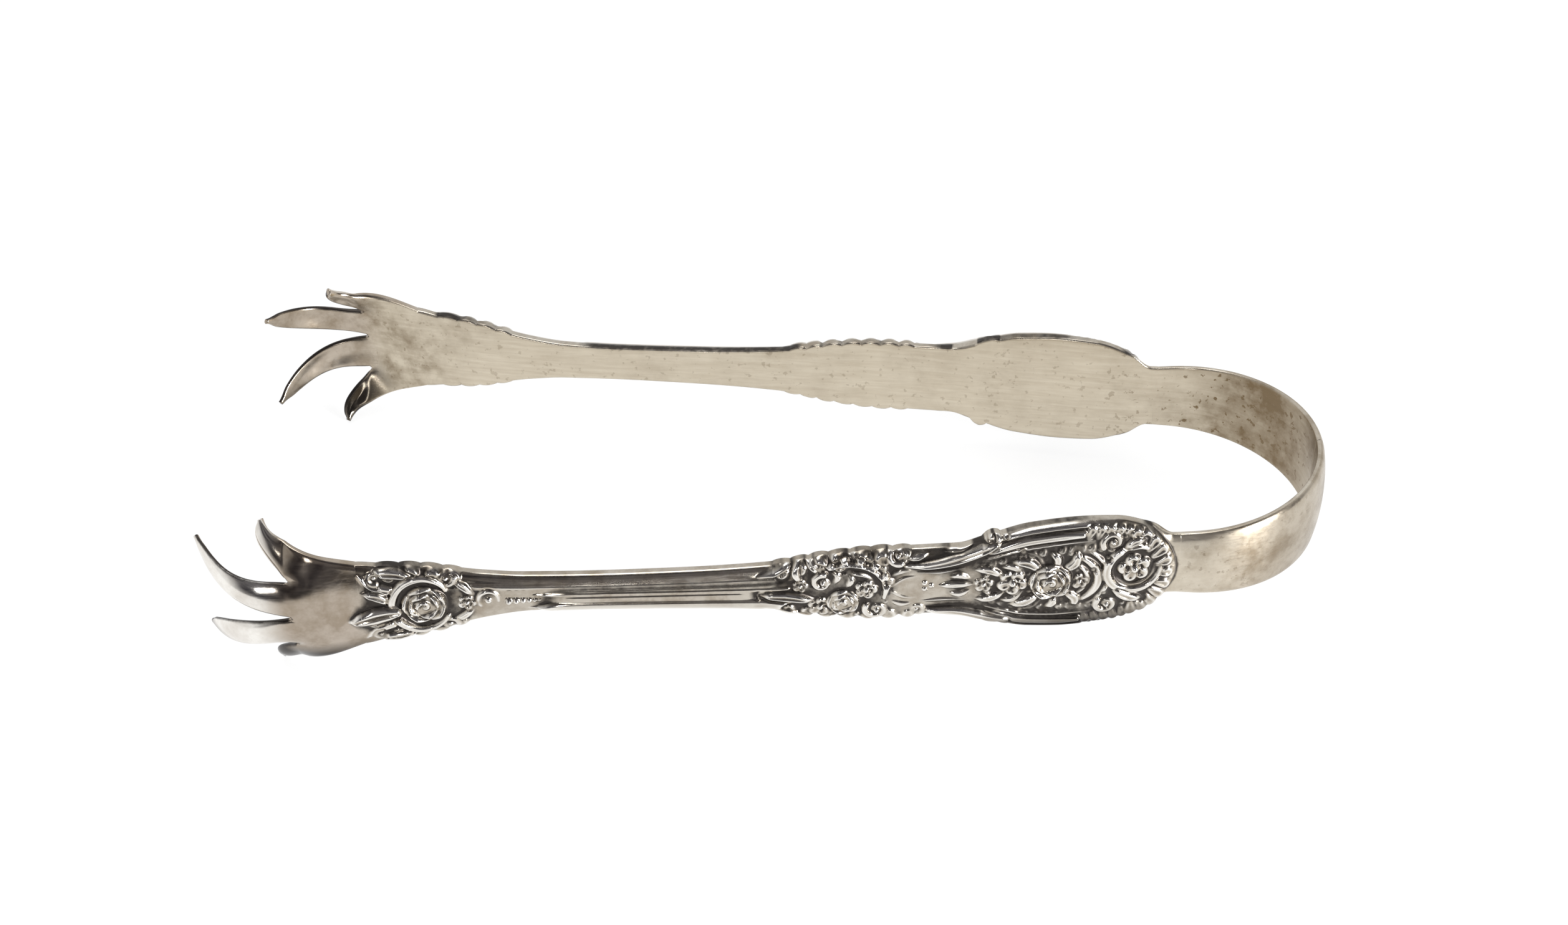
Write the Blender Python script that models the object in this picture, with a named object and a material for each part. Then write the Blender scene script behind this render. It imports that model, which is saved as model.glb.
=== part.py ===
"""Claw-ended silver sugar tongs, lying on their side.

A springy U-shaped bow carries two mirrored arms. Each arm has a wide handle beside the bow,
a slim reeded stem and a claw with four talons that curl in towards the other claw.

Frame: +X runs from the claws to the crown of the bow, +Y from the front arm to the rear arm,
+Z up. The origin is the middle of the footprint, on the surface that the tongs lie on.

The bow is one strip that bends. It is cut at the two shoulders where its bending centres, so
that each arm turns there about an upright axis with its half of the strip.
"""

import math

import bmesh
import bpy
from mathutils import Vector

# Bow, in metres.
BOW_SPAN = 0.0356
BOW_DEPTH = 0.0185
BOW_THICKNESS = 0.0015
CROWN_WIDTH = 0.0128
LIMB_WIDTH = 0.0095
LIMB_LENGTH = 0.0015
SHOULDER_ANGLE = math.radians(45.0)

# Lengths along each arm, from the seam with the bow to the seam with the claw.
HANDLE_LENGTH = 0.0275
KNOP_LENGTH = 0.0235
STEM_LENGTH = 0.0290
CUFF_LENGTH = 0.0202

# Widths and thicknesses of each arm.
HANDLE_WIDTH = 0.0168
WAIST_WIDTH = 0.0100
KNOP_WIDTH = 0.0106
STEM_WIDTH = 0.0053
CUFF_WIDTH = 0.0118
CLAW_SEAM_WIDTH = 0.0128
HANDLE_THICKNESS = 0.0023
WAIST_THICKNESS = 0.0019
KNOP_THICKNESS = 0.0021
STEM_THICKNESS = 0.0017
CUFF_THICKNESS = 0.0019
EDGE_THICKNESS = 0.0013
INNER_BEVEL = 0.0005
FLAT_LENGTH = 0.0050

# Relief on the outer face of each arm.
ROSE_RADIUS = 0.0027
BLOSSOM_RADIUS = 0.0020
BUD_RADIUS = 0.0016
LEAF_LENGTH = 0.0024
CREST_SCROLL_RADIUS = 0.0034
END_SCROLL_REACH = 0.0060
RING_RADIUS = 0.0040
BROAD_RIB = 0.0016
SLIM_RIB = 0.0013
REED_SHARE = 0.60
HIGH_RISE = 0.0011
MIDDLE_RISE = 0.0008
LOW_RISE = 0.0006

# How steeply the inner face of each arm runs away from the middle plane.
HANDLE_SPLAY = math.radians(7.0)
STEM_SPLAY = math.radians(3.0)
CLAW_SPLAY = math.radians(10.0)

# Claw.
PALM_LENGTH = 0.0080
PALM_WIDTH = 0.0192
PALM_THICKNESS = 0.0011
PALM_BULGE = 0.0026
TALON_SPLAY = math.radians(6.0)
PALM_DISH = 0.0034
NOTCH_WIDTH = 0.0007
LONG_TALON_WIDTH = 0.0043
LONG_TALON_REACH = 0.0118
LONG_TALON_CURL = 0.0064
LONG_TALON_SPREAD = 0.0045
LONG_CURL = 2.8
SHORT_TALON_REACH = 0.0030
SHORT_TALON_CURL = 0.0030
SHORT_TALON_SPREAD = 0.0035
SHORT_CURL = 1.9
TALON_CROWN = 0.0004
TIP_WIDTH = 0.0006
TIP_THICKNESS = 0.0006

# Clearance between neighbouring solids.
GAP = 0.0003

# How finely the solids are faceted.
BOW_STEPS = 28
RELIEF_STEP = 0.0008
STEM_STEP = 0.0030
ACROSS_STEPS = 18
SCROLL_STEPS = 12
PALM_ROWS = 6
TALON_ROWS = 9
TALON_COLUMNS = 4
SHARP_ANGLE = math.radians(60.0)

# Where the pieces lie, worked out from the dimensions above.
ARM_LENGTH = HANDLE_LENGTH + KNOP_LENGTH + STEM_LENGTH + CUFF_LENGTH
TOTAL_LENGTH = (
    BOW_DEPTH + LIMB_LENGTH + ARM_LENGTH + PALM_LENGTH + LONG_TALON_REACH
)
CROWN_X = TOTAL_LENGTH / 2
BOW_CENTRE_X = CROWN_X - BOW_DEPTH
SEAM_X = BOW_CENTRE_X - LIMB_LENGTH
INNER_DEPTH = BOW_DEPTH - BOW_THICKNESS
INNER_REACH = BOW_SPAN / 2 - BOW_THICKNESS
UP = Vector((0.0, 0.0, 1.0))

SIDES = ("front", "rear")


def clear_scene():
    for obj in list(bpy.data.objects):
        bpy.data.objects.remove(obj)


def silver(name, colour, roughness):
    material = bpy.data.materials.new(name)
    material.use_nodes = True
    shader = material.node_tree.nodes["Principled BSDF"]
    shader.inputs["Base Color"].default_value = (*colour, 1.0)
    shader.inputs["Metallic"].default_value = 1.0
    shader.inputs["Roughness"].default_value = roughness
    return material


def smooth_value(points, position):
    """Reads a smooth curve through (position, value) points. It never overshoots a point."""
    if position <= points[0][0]:
        return points[0][1]
    if position >= points[-1][0]:
        return points[-1][1]
    rises = [(q[1] - p[1]) / (q[0] - p[0]) for p, q in zip(points, points[1:])]

    def slope_at(index):
        if index in (0, len(rises)):
            return 0.0
        before, after = rises[index - 1], rises[index]
        return 0.0 if before * after <= 0 else 2 * before * after / (before + after)

    index = max(i for i, p in enumerate(points[:-1]) if p[0] <= position)
    (start, low), (end, high) = points[index], points[index + 1]
    width = end - start
    t = (position - start) / width
    return (
        low * (2 * t**3 - 3 * t**2 + 1)
        + high * (3 * t**2 - 2 * t**3)
        + slope_at(index) * width * (t**3 - 2 * t**2 + t)
        + slope_at(index + 1) * width * (t**3 - t**2)
    )


def add_object(name, mesh, material, parent):
    mesh.materials.append(material)
    mesh.shade_smooth()
    mesh.set_sharp_from_angle(angle=SHARP_ANGLE)
    obj = bpy.data.objects.new(name, mesh)
    bpy.context.collection.objects.link(obj)
    obj.parent = parent
    obj.matrix_parent_inverse = parent.matrix_world.inverted()
    return obj


def closed_mesh(name, build):
    """Makes a mesh with the faces that build adds, all turned outwards."""
    bm = bmesh.new()
    build(bm)
    bmesh.ops.recalc_face_normals(bm, faces=bm.faces[:])
    mesh = bpy.data.meshes.new(name)
    bm.to_mesh(mesh)
    bm.free()
    return mesh


def loft(bm, rings):
    """Joins rings of as many points each into a tube and closes its two ends."""
    loops = [[bm.verts.new(point) for point in ring] for ring in rings]
    count = len(loops[0])
    for first, second in zip(loops, loops[1:]):
        for i in range(count):
            j = (i + 1) % count
            bm.faces.new((first[i], first[j], second[j], second[i]))
    bm.faces.new(loops[0])
    bm.faces.new(loops[-1])


def strip_ring(foot, outward, half_width, heights, bevel=0.0):
    """One cross-section of a strip: a flat inner face, and heights spread over the outer one."""
    inner = UP * (half_width - bevel)
    ring = [foot - inner, foot + inner]
    if bevel:
        side = foot + outward * bevel
        ring = [side - UP * half_width, *ring, side + UP * half_width]
    for share, height in reversed(heights):
        ring.append(foot + UP * half_width * share + outward * height)
    return ring


# The bow


def bow_half_width(x):
    share = (x - SEAM_X) / (CROWN_X - SEAM_X)
    return (LIMB_WIDTH + (CROWN_WIDTH - LIMB_WIDTH) * share) / 2


def bow_heights():
    """The strip's outer face is crowned, so that its edges are thinner."""
    edge = 0.70 * BOW_THICKNESS
    near_edge = 0.89 * BOW_THICKNESS
    return [
        (-1.0, edge),
        (-0.6, near_edge),
        (0.0, BOW_THICKNESS),
        (0.6, near_edge),
        (1.0, edge),
    ]


def bow_foot(side, angle):
    """A point on the bow's inner face, with the outward direction. The crown is at angle 0."""
    x = BOW_CENTRE_X + INNER_DEPTH * math.cos(angle)
    y = side * INNER_REACH * math.sin(angle)
    outward = Vector(
        (math.cos(angle) / INNER_DEPTH, side * math.sin(angle) / INNER_REACH, 0.0)
    ).normalized()
    return Vector((x, y, 0.0)), outward


def bow_ring(side, angle):
    foot, outward = bow_foot(side, angle)
    return strip_ring(foot, outward, bow_half_width(foot.x), bow_heights())


def hinge_point(side):
    """Where an arm turns: the middle of the strip's thickness at its shoulder."""
    foot, outward = bow_foot(side, SHOULDER_ANGLE)
    return foot + outward * BOW_THICKNESS / 2


def flex_angle():
    """Half of the gap at a shoulder, as an angle round the bow."""
    foot, _ = bow_foot(1.0, SHOULDER_ANGLE)
    return GAP / 2 / math.hypot(foot.x - BOW_CENTRE_X, foot.y)


def make_crown(parent, material):
    limit = SHOULDER_ANGLE - flex_angle()

    def build(bm):
        angles = [limit * (2 * i / BOW_STEPS - 1) for i in range(BOW_STEPS + 1)]
        loft(bm, [bow_ring(1.0, angle) for angle in angles])

    return add_object(
        "bow_crown", closed_mesh("bow_crown", build), material, parent
    )


def make_shoulder(name, side, parent, material):
    first = SHOULDER_ANGLE + flex_angle()
    steps = BOW_STEPS // 2

    def build(bm):
        rings = []
        for i in range(steps + 1):
            rings.append(bow_ring(side, first + (math.pi / 2 - first) * i / steps))
        rings.append(arm_ring(side, GAP / 2 - LIMB_LENGTH, bow_heights()))
        rings.append(arm_ring(side, -GAP / 2, bow_heights()))
        loft(bm, rings)

    return add_object(name, closed_mesh(name, build), material, parent)


# The arms. A place along an arm is its distance from the seam with the bow.

KNOP_START = HANDLE_LENGTH
STEM_START = KNOP_START + KNOP_LENGTH
CUFF_START = STEM_START + STEM_LENGTH

SLOPES = [
    (-LIMB_LENGTH, 0.0),
    (0.10 * HANDLE_LENGTH, math.tan(HANDLE_SPLAY)),
    (0.55 * HANDLE_LENGTH, math.tan(HANDLE_SPLAY)),
    (STEM_START, math.tan(STEM_SPLAY)),
    (CUFF_START - 0.25 * STEM_LENGTH, math.tan(STEM_SPLAY)),
    (ARM_LENGTH, math.tan(CLAW_SPLAY)),
]

FLAT_START = 0.28 * HANDLE_LENGTH

HALF_WIDTHS = [
    (-LIMB_LENGTH, LIMB_WIDTH / 2),
    (0.0, LIMB_WIDTH / 2),
    (0.09 * HANDLE_LENGTH, 0.39 * HANDLE_WIDTH),
    (FLAT_START, HANDLE_WIDTH / 2),
    (FLAT_START + FLAT_LENGTH, HANDLE_WIDTH / 2),
    (0.69 * HANDLE_LENGTH, 0.45 * HANDLE_WIDTH),
    (HANDLE_LENGTH, WAIST_WIDTH / 2),
    (KNOP_START + 0.45 * KNOP_LENGTH, KNOP_WIDTH / 2),
    (KNOP_START + 0.65 * KNOP_LENGTH, 0.46 * KNOP_WIDTH),
    (STEM_START, 0.65 * STEM_WIDTH),
    (STEM_START + 0.35 * STEM_LENGTH, 0.54 * STEM_WIDTH),
    (STEM_START + 0.75 * STEM_LENGTH, STEM_WIDTH / 2),
    (CUFF_START, 0.54 * STEM_WIDTH),
    (CUFF_START + 0.25 * CUFF_LENGTH, 0.67 * STEM_WIDTH),
    (CUFF_START + 0.65 * CUFF_LENGTH, 0.46 * CUFF_WIDTH),
    (CUFF_START + 0.85 * CUFF_LENGTH, CUFF_WIDTH / 2),
    (ARM_LENGTH, CLAW_SEAM_WIDTH / 2),
]

THICKNESSES = [
    (-LIMB_LENGTH, BOW_THICKNESS),
    (0.0, BOW_THICKNESS),
    (0.12 * HANDLE_LENGTH, HANDLE_THICKNESS),
    (0.70 * HANDLE_LENGTH, HANDLE_THICKNESS),
    (HANDLE_LENGTH, WAIST_THICKNESS),
    (KNOP_START + 0.45 * KNOP_LENGTH, KNOP_THICKNESS),
    (STEM_START, STEM_THICKNESS),
    (CUFF_START, STEM_THICKNESS),
    (CUFF_START + 0.60 * CUFF_LENGTH, CUFF_THICKNESS),
    (ARM_LENGTH, PALM_THICKNESS),
]


def half_width_at(place):
    return smooth_value(HALF_WIDTHS, place)


def arc(middle, reach, start, end):
    """Points on part of an oval. Angles are in degrees, from along the arm to across it."""
    points = []
    for i in range(SCROLL_STEPS + 1):
        angle = math.radians(start + (end - start) * i / SCROLL_STEPS)
        points.append(
            (middle[0] + reach[0] * math.cos(angle), middle[1] + reach[1] * math.sin(angle))
        )
    return points


def along_edge(start, end, share):
    """Points that keep to a share of an arm's half width between two places."""
    places = [start + (end - start) * i / SCROLL_STEPS for i in range(SCROLL_STEPS + 1)]
    return [(place, share * half_width_at(place)) for place in places]


# The relief. Its levels are measured from an arm's middle line, upwards on the front arm and
# downwards on the rear one, as both arms come from one die.

CREST = (0.22 * HANDLE_LENGTH, 0.07 * HANDLE_WIDTH)
PANEL_MIDDLE = (0.59 * HANDLE_LENGTH, 0.0)
CUFF_BOSS = (CUFF_START + 0.62 * CUFF_LENGTH, 0.0)
KNOP_SCROLL = [
    (KNOP_START + 0.37 * KNOP_LENGTH, -0.10 * KNOP_WIDTH),
    (KNOP_START + 0.38 * KNOP_LENGTH, 0.14 * KNOP_WIDTH),
    (KNOP_START + 0.46 * KNOP_LENGTH, 0.32 * KNOP_WIDTH),
    (KNOP_START + 0.58 * KNOP_LENGTH, 0.36 * KNOP_WIDTH),
    (KNOP_START + 0.71 * KNOP_LENGTH, 0.24 * KNOP_WIDTH),
]

# Flowers, buds and leaves: middle, reach along the arm and across it, and rise.
MOUNDS = [
    (CREST, (BLOSSOM_RADIUS, BLOSSOM_RADIUS), MIDDLE_RISE),
    (PANEL_MIDDLE, (ROSE_RADIUS, ROSE_RADIUS), HIGH_RISE),
    ((0.75 * HANDLE_LENGTH, 0.0), (BLOSSOM_RADIUS, BLOSSOM_RADIUS), MIDDLE_RISE),
    ((0.44 * HANDLE_LENGTH, -0.04 * HANDLE_WIDTH), (BUD_RADIUS, BUD_RADIUS), MIDDLE_RISE),
    ((0.91 * HANDLE_LENGTH, 0.0), (LEAF_LENGTH, BUD_RADIUS), LOW_RISE),
    (
        (KNOP_START + 0.60 * KNOP_LENGTH, -0.18 * KNOP_WIDTH),
        (BLOSSOM_RADIUS, BLOSSOM_RADIUS),
        HIGH_RISE,
    ),
    (
        (KNOP_START + 0.71 * KNOP_LENGTH, -0.22 * KNOP_WIDTH),
        (BUD_RADIUS, BUD_RADIUS),
        MIDDLE_RISE,
    ),
    (
        (KNOP_START + 0.42 * KNOP_LENGTH, -0.28 * KNOP_WIDTH),
        (BUD_RADIUS, BUD_RADIUS),
        MIDDLE_RISE,
    ),
    ((KNOP_START + 0.47 * KNOP_LENGTH, 0.0), (BUD_RADIUS, BUD_RADIUS), MIDDLE_RISE),
    ((KNOP_START + 0.86 * KNOP_LENGTH, 0.0), (LEAF_LENGTH, SLIM_RIB), LOW_RISE),
    ((CUFF_START + 0.28 * CUFF_LENGTH, 0.0), (LEAF_LENGTH, SLIM_RIB), LOW_RISE),
    (CUFF_BOSS, (BLOSSOM_RADIUS, BLOSSOM_RADIUS), MIDDLE_RISE),
    (
        (CUFF_START + 0.86 * CUFF_LENGTH, 0.27 * CUFF_WIDTH),
        (LEAF_LENGTH, BUD_RADIUS),
        LOW_RISE,
    ),
    (
        (CUFF_START + 0.86 * CUFF_LENGTH, -0.27 * CUFF_WIDTH),
        (LEAF_LENGTH, BUD_RADIUS),
        LOW_RISE,
    ),
]

# Scrolls, borders and the stem's reed: points, half breadth and rise.
RIBS = [
    (along_edge(0.22 * HANDLE_LENGTH, 0.90 * HANDLE_LENGTH, 0.80), BROAD_RIB, HIGH_RISE),
    (along_edge(0.22 * HANDLE_LENGTH, 0.90 * HANDLE_LENGTH, -0.80), BROAD_RIB, HIGH_RISE),
    (along_edge(0.88 * HANDLE_LENGTH, KNOP_START + 0.24 * KNOP_LENGTH, 0.68), SLIM_RIB, HIGH_RISE),
    (along_edge(0.88 * HANDLE_LENGTH, KNOP_START + 0.20 * KNOP_LENGTH, -0.75), SLIM_RIB, HIGH_RISE),
    (
        arc(CREST, (CREST_SCROLL_RADIUS, CREST_SCROLL_RADIUS), -180.0, 120.0),
        SLIM_RIB,
        HIGH_RISE,
    ),
    (
        arc(PANEL_MIDDLE, (END_SCROLL_REACH, 0.31 * HANDLE_WIDTH), 112.0, 248.0),
        SLIM_RIB,
        MIDDLE_RISE,
    ),
    (KNOP_SCROLL, BROAD_RIB, HIGH_RISE),
    (
        along_edge(KNOP_START + 0.90 * KNOP_LENGTH, CUFF_START, -0.06),
        REED_SHARE * STEM_WIDTH / 2,
        LOW_RISE,
    ),
    (arc(CUFF_BOSS, (RING_RADIUS, RING_RADIUS), 0.0, 360.0), SLIM_RIB, HIGH_RISE),
]


def distance_to(points, place, level):
    """How far a spot on the outer face lies from a line through points."""
    best = math.inf
    for (x, y), (x_end, y_end) in zip(points, points[1:]):
        run = (x_end - x, y_end - y)
        along = ((place - x) * run[0] + (level - y) * run[1]) / (run[0] ** 2 + run[1] ** 2)
        along = min(max(along, 0.0), 1.0)
        best = min(best, math.hypot(place - x - along * run[0], level - y - along * run[1]))
    return best


def relief_height(place, level):
    """How far the relief stands above its ground. Mounds are domed, and ribs fade at each side."""
    height = 0.0
    for middle, reach, rise in MOUNDS:
        away = math.hypot((place - middle[0]) / reach[0], (level - middle[1]) / reach[1])
        height = max(height, rise * math.sqrt(max(0.0, 1 - away**2)))
    for points, breadth, rise in RIBS:
        away = distance_to(points, place, level) / breadth
        height = max(height, rise * max(0.0, 1 - away**2) ** 2)
    return height


def path_offset(place):
    """How far an arm's inner face has run outwards at a place. The slope changes evenly."""
    offset = 0.0
    for (start, low), (end, high) in zip(SLOPES, SLOPES[1:]):
        run = min(max(place, start), end) - start
        offset += low * run + (high - low) / (end - start) * run**2 / 2
    return offset


def path_slope(place):
    for (start, low), (end, high) in zip(SLOPES, SLOPES[1:]):
        if place <= end:
            share = (max(place, start) - start) / (end - start)
            return low + (high - low) * share
    return SLOPES[-1][1]


def arm_foot(side, place):
    """A point on an arm's inner face, with the outward direction."""
    x = SEAM_X - place
    y = side * (INNER_REACH + path_offset(place))
    outward = Vector((path_slope(place), side, 0.0)).normalized()
    return Vector((x, y, 0.0)), outward


def arm_heights(side, place):
    """The outer face across an arm: relief on a crowned ground."""
    thickness = smooth_value(THICKNESSES, place)
    edge = min(EDGE_THICKNESS, thickness)
    half_width = half_width_at(place)
    heights = []
    for i in range(ACROSS_STEPS + 1):
        share = 2 * i / ACROSS_STEPS - 1
        ground = edge + (thickness - edge) * (1 - share**2)
        heights.append((share, ground + relief_height(place, -side * share * half_width)))
    return heights


def arm_ring(side, place, heights=None):
    """A cross-section of an arm, or of the strip that leads to it if heights are given."""
    foot, outward = arm_foot(side, place)
    half_width = half_width_at(place)
    if heights:
        return strip_ring(foot, outward, half_width, heights)
    return strip_ring(foot, outward, half_width, arm_heights(side, place), INNER_BEVEL)


def steps_between(start, end, step):
    count = round((end - start) / step)
    return [start + (end - start) * i / count for i in range(count)]


def arm_places():
    """Close steps under the relief, wide ones on the stem, and the ends of the resting flat."""
    last = ARM_LENGTH - GAP / 2
    places = [
        *steps_between(GAP / 2, STEM_START, RELIEF_STEP),
        *steps_between(STEM_START, CUFF_START, STEM_STEP),
        *steps_between(CUFF_START, last, RELIEF_STEP),
        last,
    ]
    flat = (FLAT_START, FLAT_START + FLAT_LENGTH)
    apart = [p for p in places if all(abs(p - end) > RELIEF_STEP / 3 for end in flat)]
    return sorted([*apart, *flat])


def make_arm(name, side, parent, material):
    def build(bm):
        loft(bm, [arm_ring(side, place) for place in arm_places()])

    return add_object(name, closed_mesh(name, build), material, parent)


# The claws. A place on a claw is measured from the middle of its seam: forwards along the arm,
# outwards from the middle plane, and up.

HALF_PALM = PALM_WIDTH / 2
LONG_ROOT = (NOTCH_WIDTH / 2, NOTCH_WIDTH / 2 + LONG_TALON_WIDTH)
SHORT_ROOT = (LONG_ROOT[1] + NOTCH_WIDTH, HALF_PALM)
LONG_TIP = Vector((LONG_TALON_REACH, -LONG_TALON_CURL, LONG_TALON_SPREAD))
SHORT_TIP = Vector((SHORT_TALON_REACH, -SHORT_TALON_CURL, SHORT_TALON_SPREAD))
TALONS = [(LONG_ROOT, LONG_TIP, LONG_CURL), (SHORT_ROOT, SHORT_TIP, SHORT_CURL)]


def root_columns(root):
    inner, outer = root
    return [inner + (outer - inner) * i / TALON_COLUMNS for i in range(TALON_COLUMNS + 1)]


def palm_point(forward, column):
    """The middle of the palm's sheet. It widens, swells out and dishes as it goes forwards."""
    share = forward / PALM_LENGTH
    width = CLAW_SEAM_WIDTH + (PALM_WIDTH - CLAW_SEAM_WIDTH) * share
    start_slope = PALM_LENGTH * math.tan(CLAW_SPLAY)
    end_slope = PALM_LENGTH * math.tan(TALON_SPLAY)
    swell = (
        start_slope * share * (1 - share) ** 2
        + PALM_BULGE * share**2 * (3 - 2 * share)
        - end_slope * share**2 * (1 - share)
    )
    across = column / HALF_PALM
    return Vector(
        (forward, swell - PALM_DISH * (across * share) ** 2, across * width / 2)
    )


def talon_points(root, tip, curl, columns):
    """Rows of points from a talon's root on the palm's front edge to its tip.

    The tip is given from the middle of the root. Each column leaves the palm in the palm's own
    direction and arrives in the tip's, which a higher curl turns further inwards.
    """
    base = [palm_point(PALM_LENGTH, column) for column in columns]
    back = [palm_point(PALM_LENGTH * 0.98, column) for column in columns]
    starts = [(point - before) * (tip.x / (point.x - before.x)) for point, before in zip(base, back)]
    middle = palm_point(PALM_LENGTH, sum(root) / 2)
    ahead = starts[len(starts) // 2]
    finish = ahead + (tip - ahead) * curl
    across = (base[-1] - base[0]).normalized()
    across = (across - finish * (across.dot(finish) / finish.length_squared)).normalized()
    half_root = (root[1] - root[0]) / 2
    rows = []
    for i in range(1, TALON_ROWS + 1):
        t = i / TALON_ROWS
        row = []
        for point, start, column in zip(base, starts, columns):
            share = (column - sum(root) / 2) / half_root
            goal = middle + tip + across * (share * TIP_WIDTH / 2)
            crown = TALON_CROWN * 4 * t * (1 - t) * (1 - share**2)
            row.append(
                point * (2 * t**3 - 3 * t**2 + 1)
                + goal * (3 * t**2 - 2 * t**3)
                + start * (t**3 - 2 * t**2 + t)
                + finish * (t**3 - t**2)
                + Vector((0.0, crown, 0.0))
            )
        rows.append(row)
    return rows


def sheet_thickness(forward):
    """The palm thins towards its front edge and the talons thin towards their tips."""
    share = min(1.0, max(0.0, forward - PALM_LENGTH) / LONG_TALON_REACH)
    return PALM_THICKNESS + (TIP_THICKNESS - PALM_THICKNESS) * share


def add_sheet(bm):
    """Builds the middle of the claw's sheet as a palm with four talons."""
    half = [*root_columns(LONG_ROOT), *root_columns(SHORT_ROOT)]
    columns = [-column for column in reversed(half)] + [0.0] + half
    rows = []
    for i in range(PALM_ROWS + 1):
        forward = PALM_LENGTH * i / PALM_ROWS
        rows.append([bm.verts.new(palm_point(forward, column)) for column in columns])
    strips = [rows]
    front = dict(zip(columns, rows[-1]))
    for root, tip, curl in TALONS:
        for hand in (-1, 1):
            places = root_columns(root)
            talon = [[front[hand * place] for place in places]]
            for row in talon_points(root, tip, curl, places):
                talon.append([bm.verts.new((p.x, p.y, hand * p.z)) for p in row])
            strips.append(talon if hand > 0 else [row[::-1] for row in talon])
    for strip in strips:
        for first, second in zip(strip, strip[1:]):
            for i in range(len(first) - 1):
                bm.faces.new((first[i], first[i + 1], second[i + 1], second[i]))
    return rows[0]


def make_claw(name, side, parent, material):
    """Thickens the sheet to both sides and closes its rim."""
    foot, outward = arm_foot(side, ARM_LENGTH + GAP / 2)
    seam = foot + outward * PALM_THICKNESS / 2

    def build(bm):
        seam_row = set(add_sheet(bm))
        bm.normal_update()
        normals = {vert: vert.normal.copy() for vert in bm.verts}
        thicknesses = {vert: sheet_thickness(vert.co.x) for vert in bm.verts}
        for vert in bm.verts:
            vert.co = seam + Vector((-vert.co.x, side * vert.co.y, vert.co.z))
            turned = normals[vert]
            if turned.y < 0:
                turned = -turned
            turned = Vector((-turned.x, side * turned.y, turned.z))
            normals[vert] = outward if vert in seam_row else turned
        sheet = bm.faces[:]
        rim = [edge for edge in bm.edges if len(edge.link_faces) == 1]
        outer = {vert: bm.verts.new(vert.co) for vert in normals}
        for vert, normal in normals.items():
            step = normal * thicknesses[vert] / 2
            outer[vert].co += step
            vert.co -= step
        for face in sheet:
            bm.faces.new([outer[vert] for vert in reversed(face.verts)])
        for edge in rim:
            first, second = edge.verts
            bm.faces.new((first, second, outer[second], outer[first]))

    return add_object(name, closed_mesh(name, build), material, parent)


def place_on_surface(body):
    """Centres the whole object and lifts it so that its lowest point touches z = 0."""
    bpy.context.view_layer.update()
    meshes = [obj for obj in bpy.data.objects if obj.type == "MESH"]
    points = [obj.matrix_world @ v.co for obj in meshes for v in obj.data.vertices]
    ends = [point.x for point in points]
    body.location.x -= (min(ends) + max(ends)) / 2
    body.location.z -= min(point.z for point in points)


def main():
    clear_scene()
    bow_silver = silver("bow_silver", (0.80, 0.78, 0.74), 0.22)
    arm_silver = silver("arm_silver", (0.62, 0.60, 0.57), 0.30)
    claw_silver = silver("claw_silver", (0.78, 0.76, 0.72), 0.15)
    body = bpy.data.objects.new("tongs", None)
    bpy.context.collection.objects.link(body)
    make_crown(body, bow_silver)
    for label in SIDES:
        side = 1 if label == "rear" else -1
        pivot = bpy.data.objects.new(label + "_pivot", None)
        bpy.context.collection.objects.link(pivot)
        pivot.location = hinge_point(side)
        pivot.parent = body
        bpy.context.view_layer.update()
        make_shoulder(label + "_bow_shoulder", side, pivot, bow_silver)
        make_arm(label + "_arm", side, pivot, arm_silver)
        make_claw(label + "_claw", side, pivot, claw_silver)
    place_on_surface(body)


main()
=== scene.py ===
"""Looks for a pair of claw-ended silver sugar tongs, lying on their side on a pale surface.

The shapes are worked out in millimetres in the CAD's frame: +X from the claws to the crown of
the bow, +Y from the front arm to the rear arm, +Z up. A place on an arm is its distance along
the arm from the seam with the bow, and a level is the height above the arm's middle line.
"""

import math
from types import SimpleNamespace

import bmesh
import bpy
import numpy as np
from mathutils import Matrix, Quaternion, Vector


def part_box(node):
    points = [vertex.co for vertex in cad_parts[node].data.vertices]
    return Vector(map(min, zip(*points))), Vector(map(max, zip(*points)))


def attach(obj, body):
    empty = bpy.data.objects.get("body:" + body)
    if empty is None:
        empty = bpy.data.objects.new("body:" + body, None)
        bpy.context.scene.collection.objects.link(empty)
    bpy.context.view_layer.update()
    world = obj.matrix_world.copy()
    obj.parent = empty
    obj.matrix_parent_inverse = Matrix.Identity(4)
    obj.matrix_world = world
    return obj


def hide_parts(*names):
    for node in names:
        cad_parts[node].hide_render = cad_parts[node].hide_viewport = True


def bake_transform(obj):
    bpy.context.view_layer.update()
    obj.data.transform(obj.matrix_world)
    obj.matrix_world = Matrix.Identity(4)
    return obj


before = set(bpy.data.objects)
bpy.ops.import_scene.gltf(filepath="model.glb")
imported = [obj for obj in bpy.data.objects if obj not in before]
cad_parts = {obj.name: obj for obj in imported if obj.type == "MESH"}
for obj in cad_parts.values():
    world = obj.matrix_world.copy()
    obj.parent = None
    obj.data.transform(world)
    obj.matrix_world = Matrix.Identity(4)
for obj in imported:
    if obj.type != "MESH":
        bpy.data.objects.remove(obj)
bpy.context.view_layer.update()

MM = 0.001
SIDES = {"front": -1.0, "rear": 1.0}


def node_box(name):
    """Lowest and highest corner of a CAD node, in millimetres."""
    low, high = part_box(name)
    return np.array(low) / MM, np.array(high) / MM


# The frame's driving sizes, read off the CAD nodes

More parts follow.
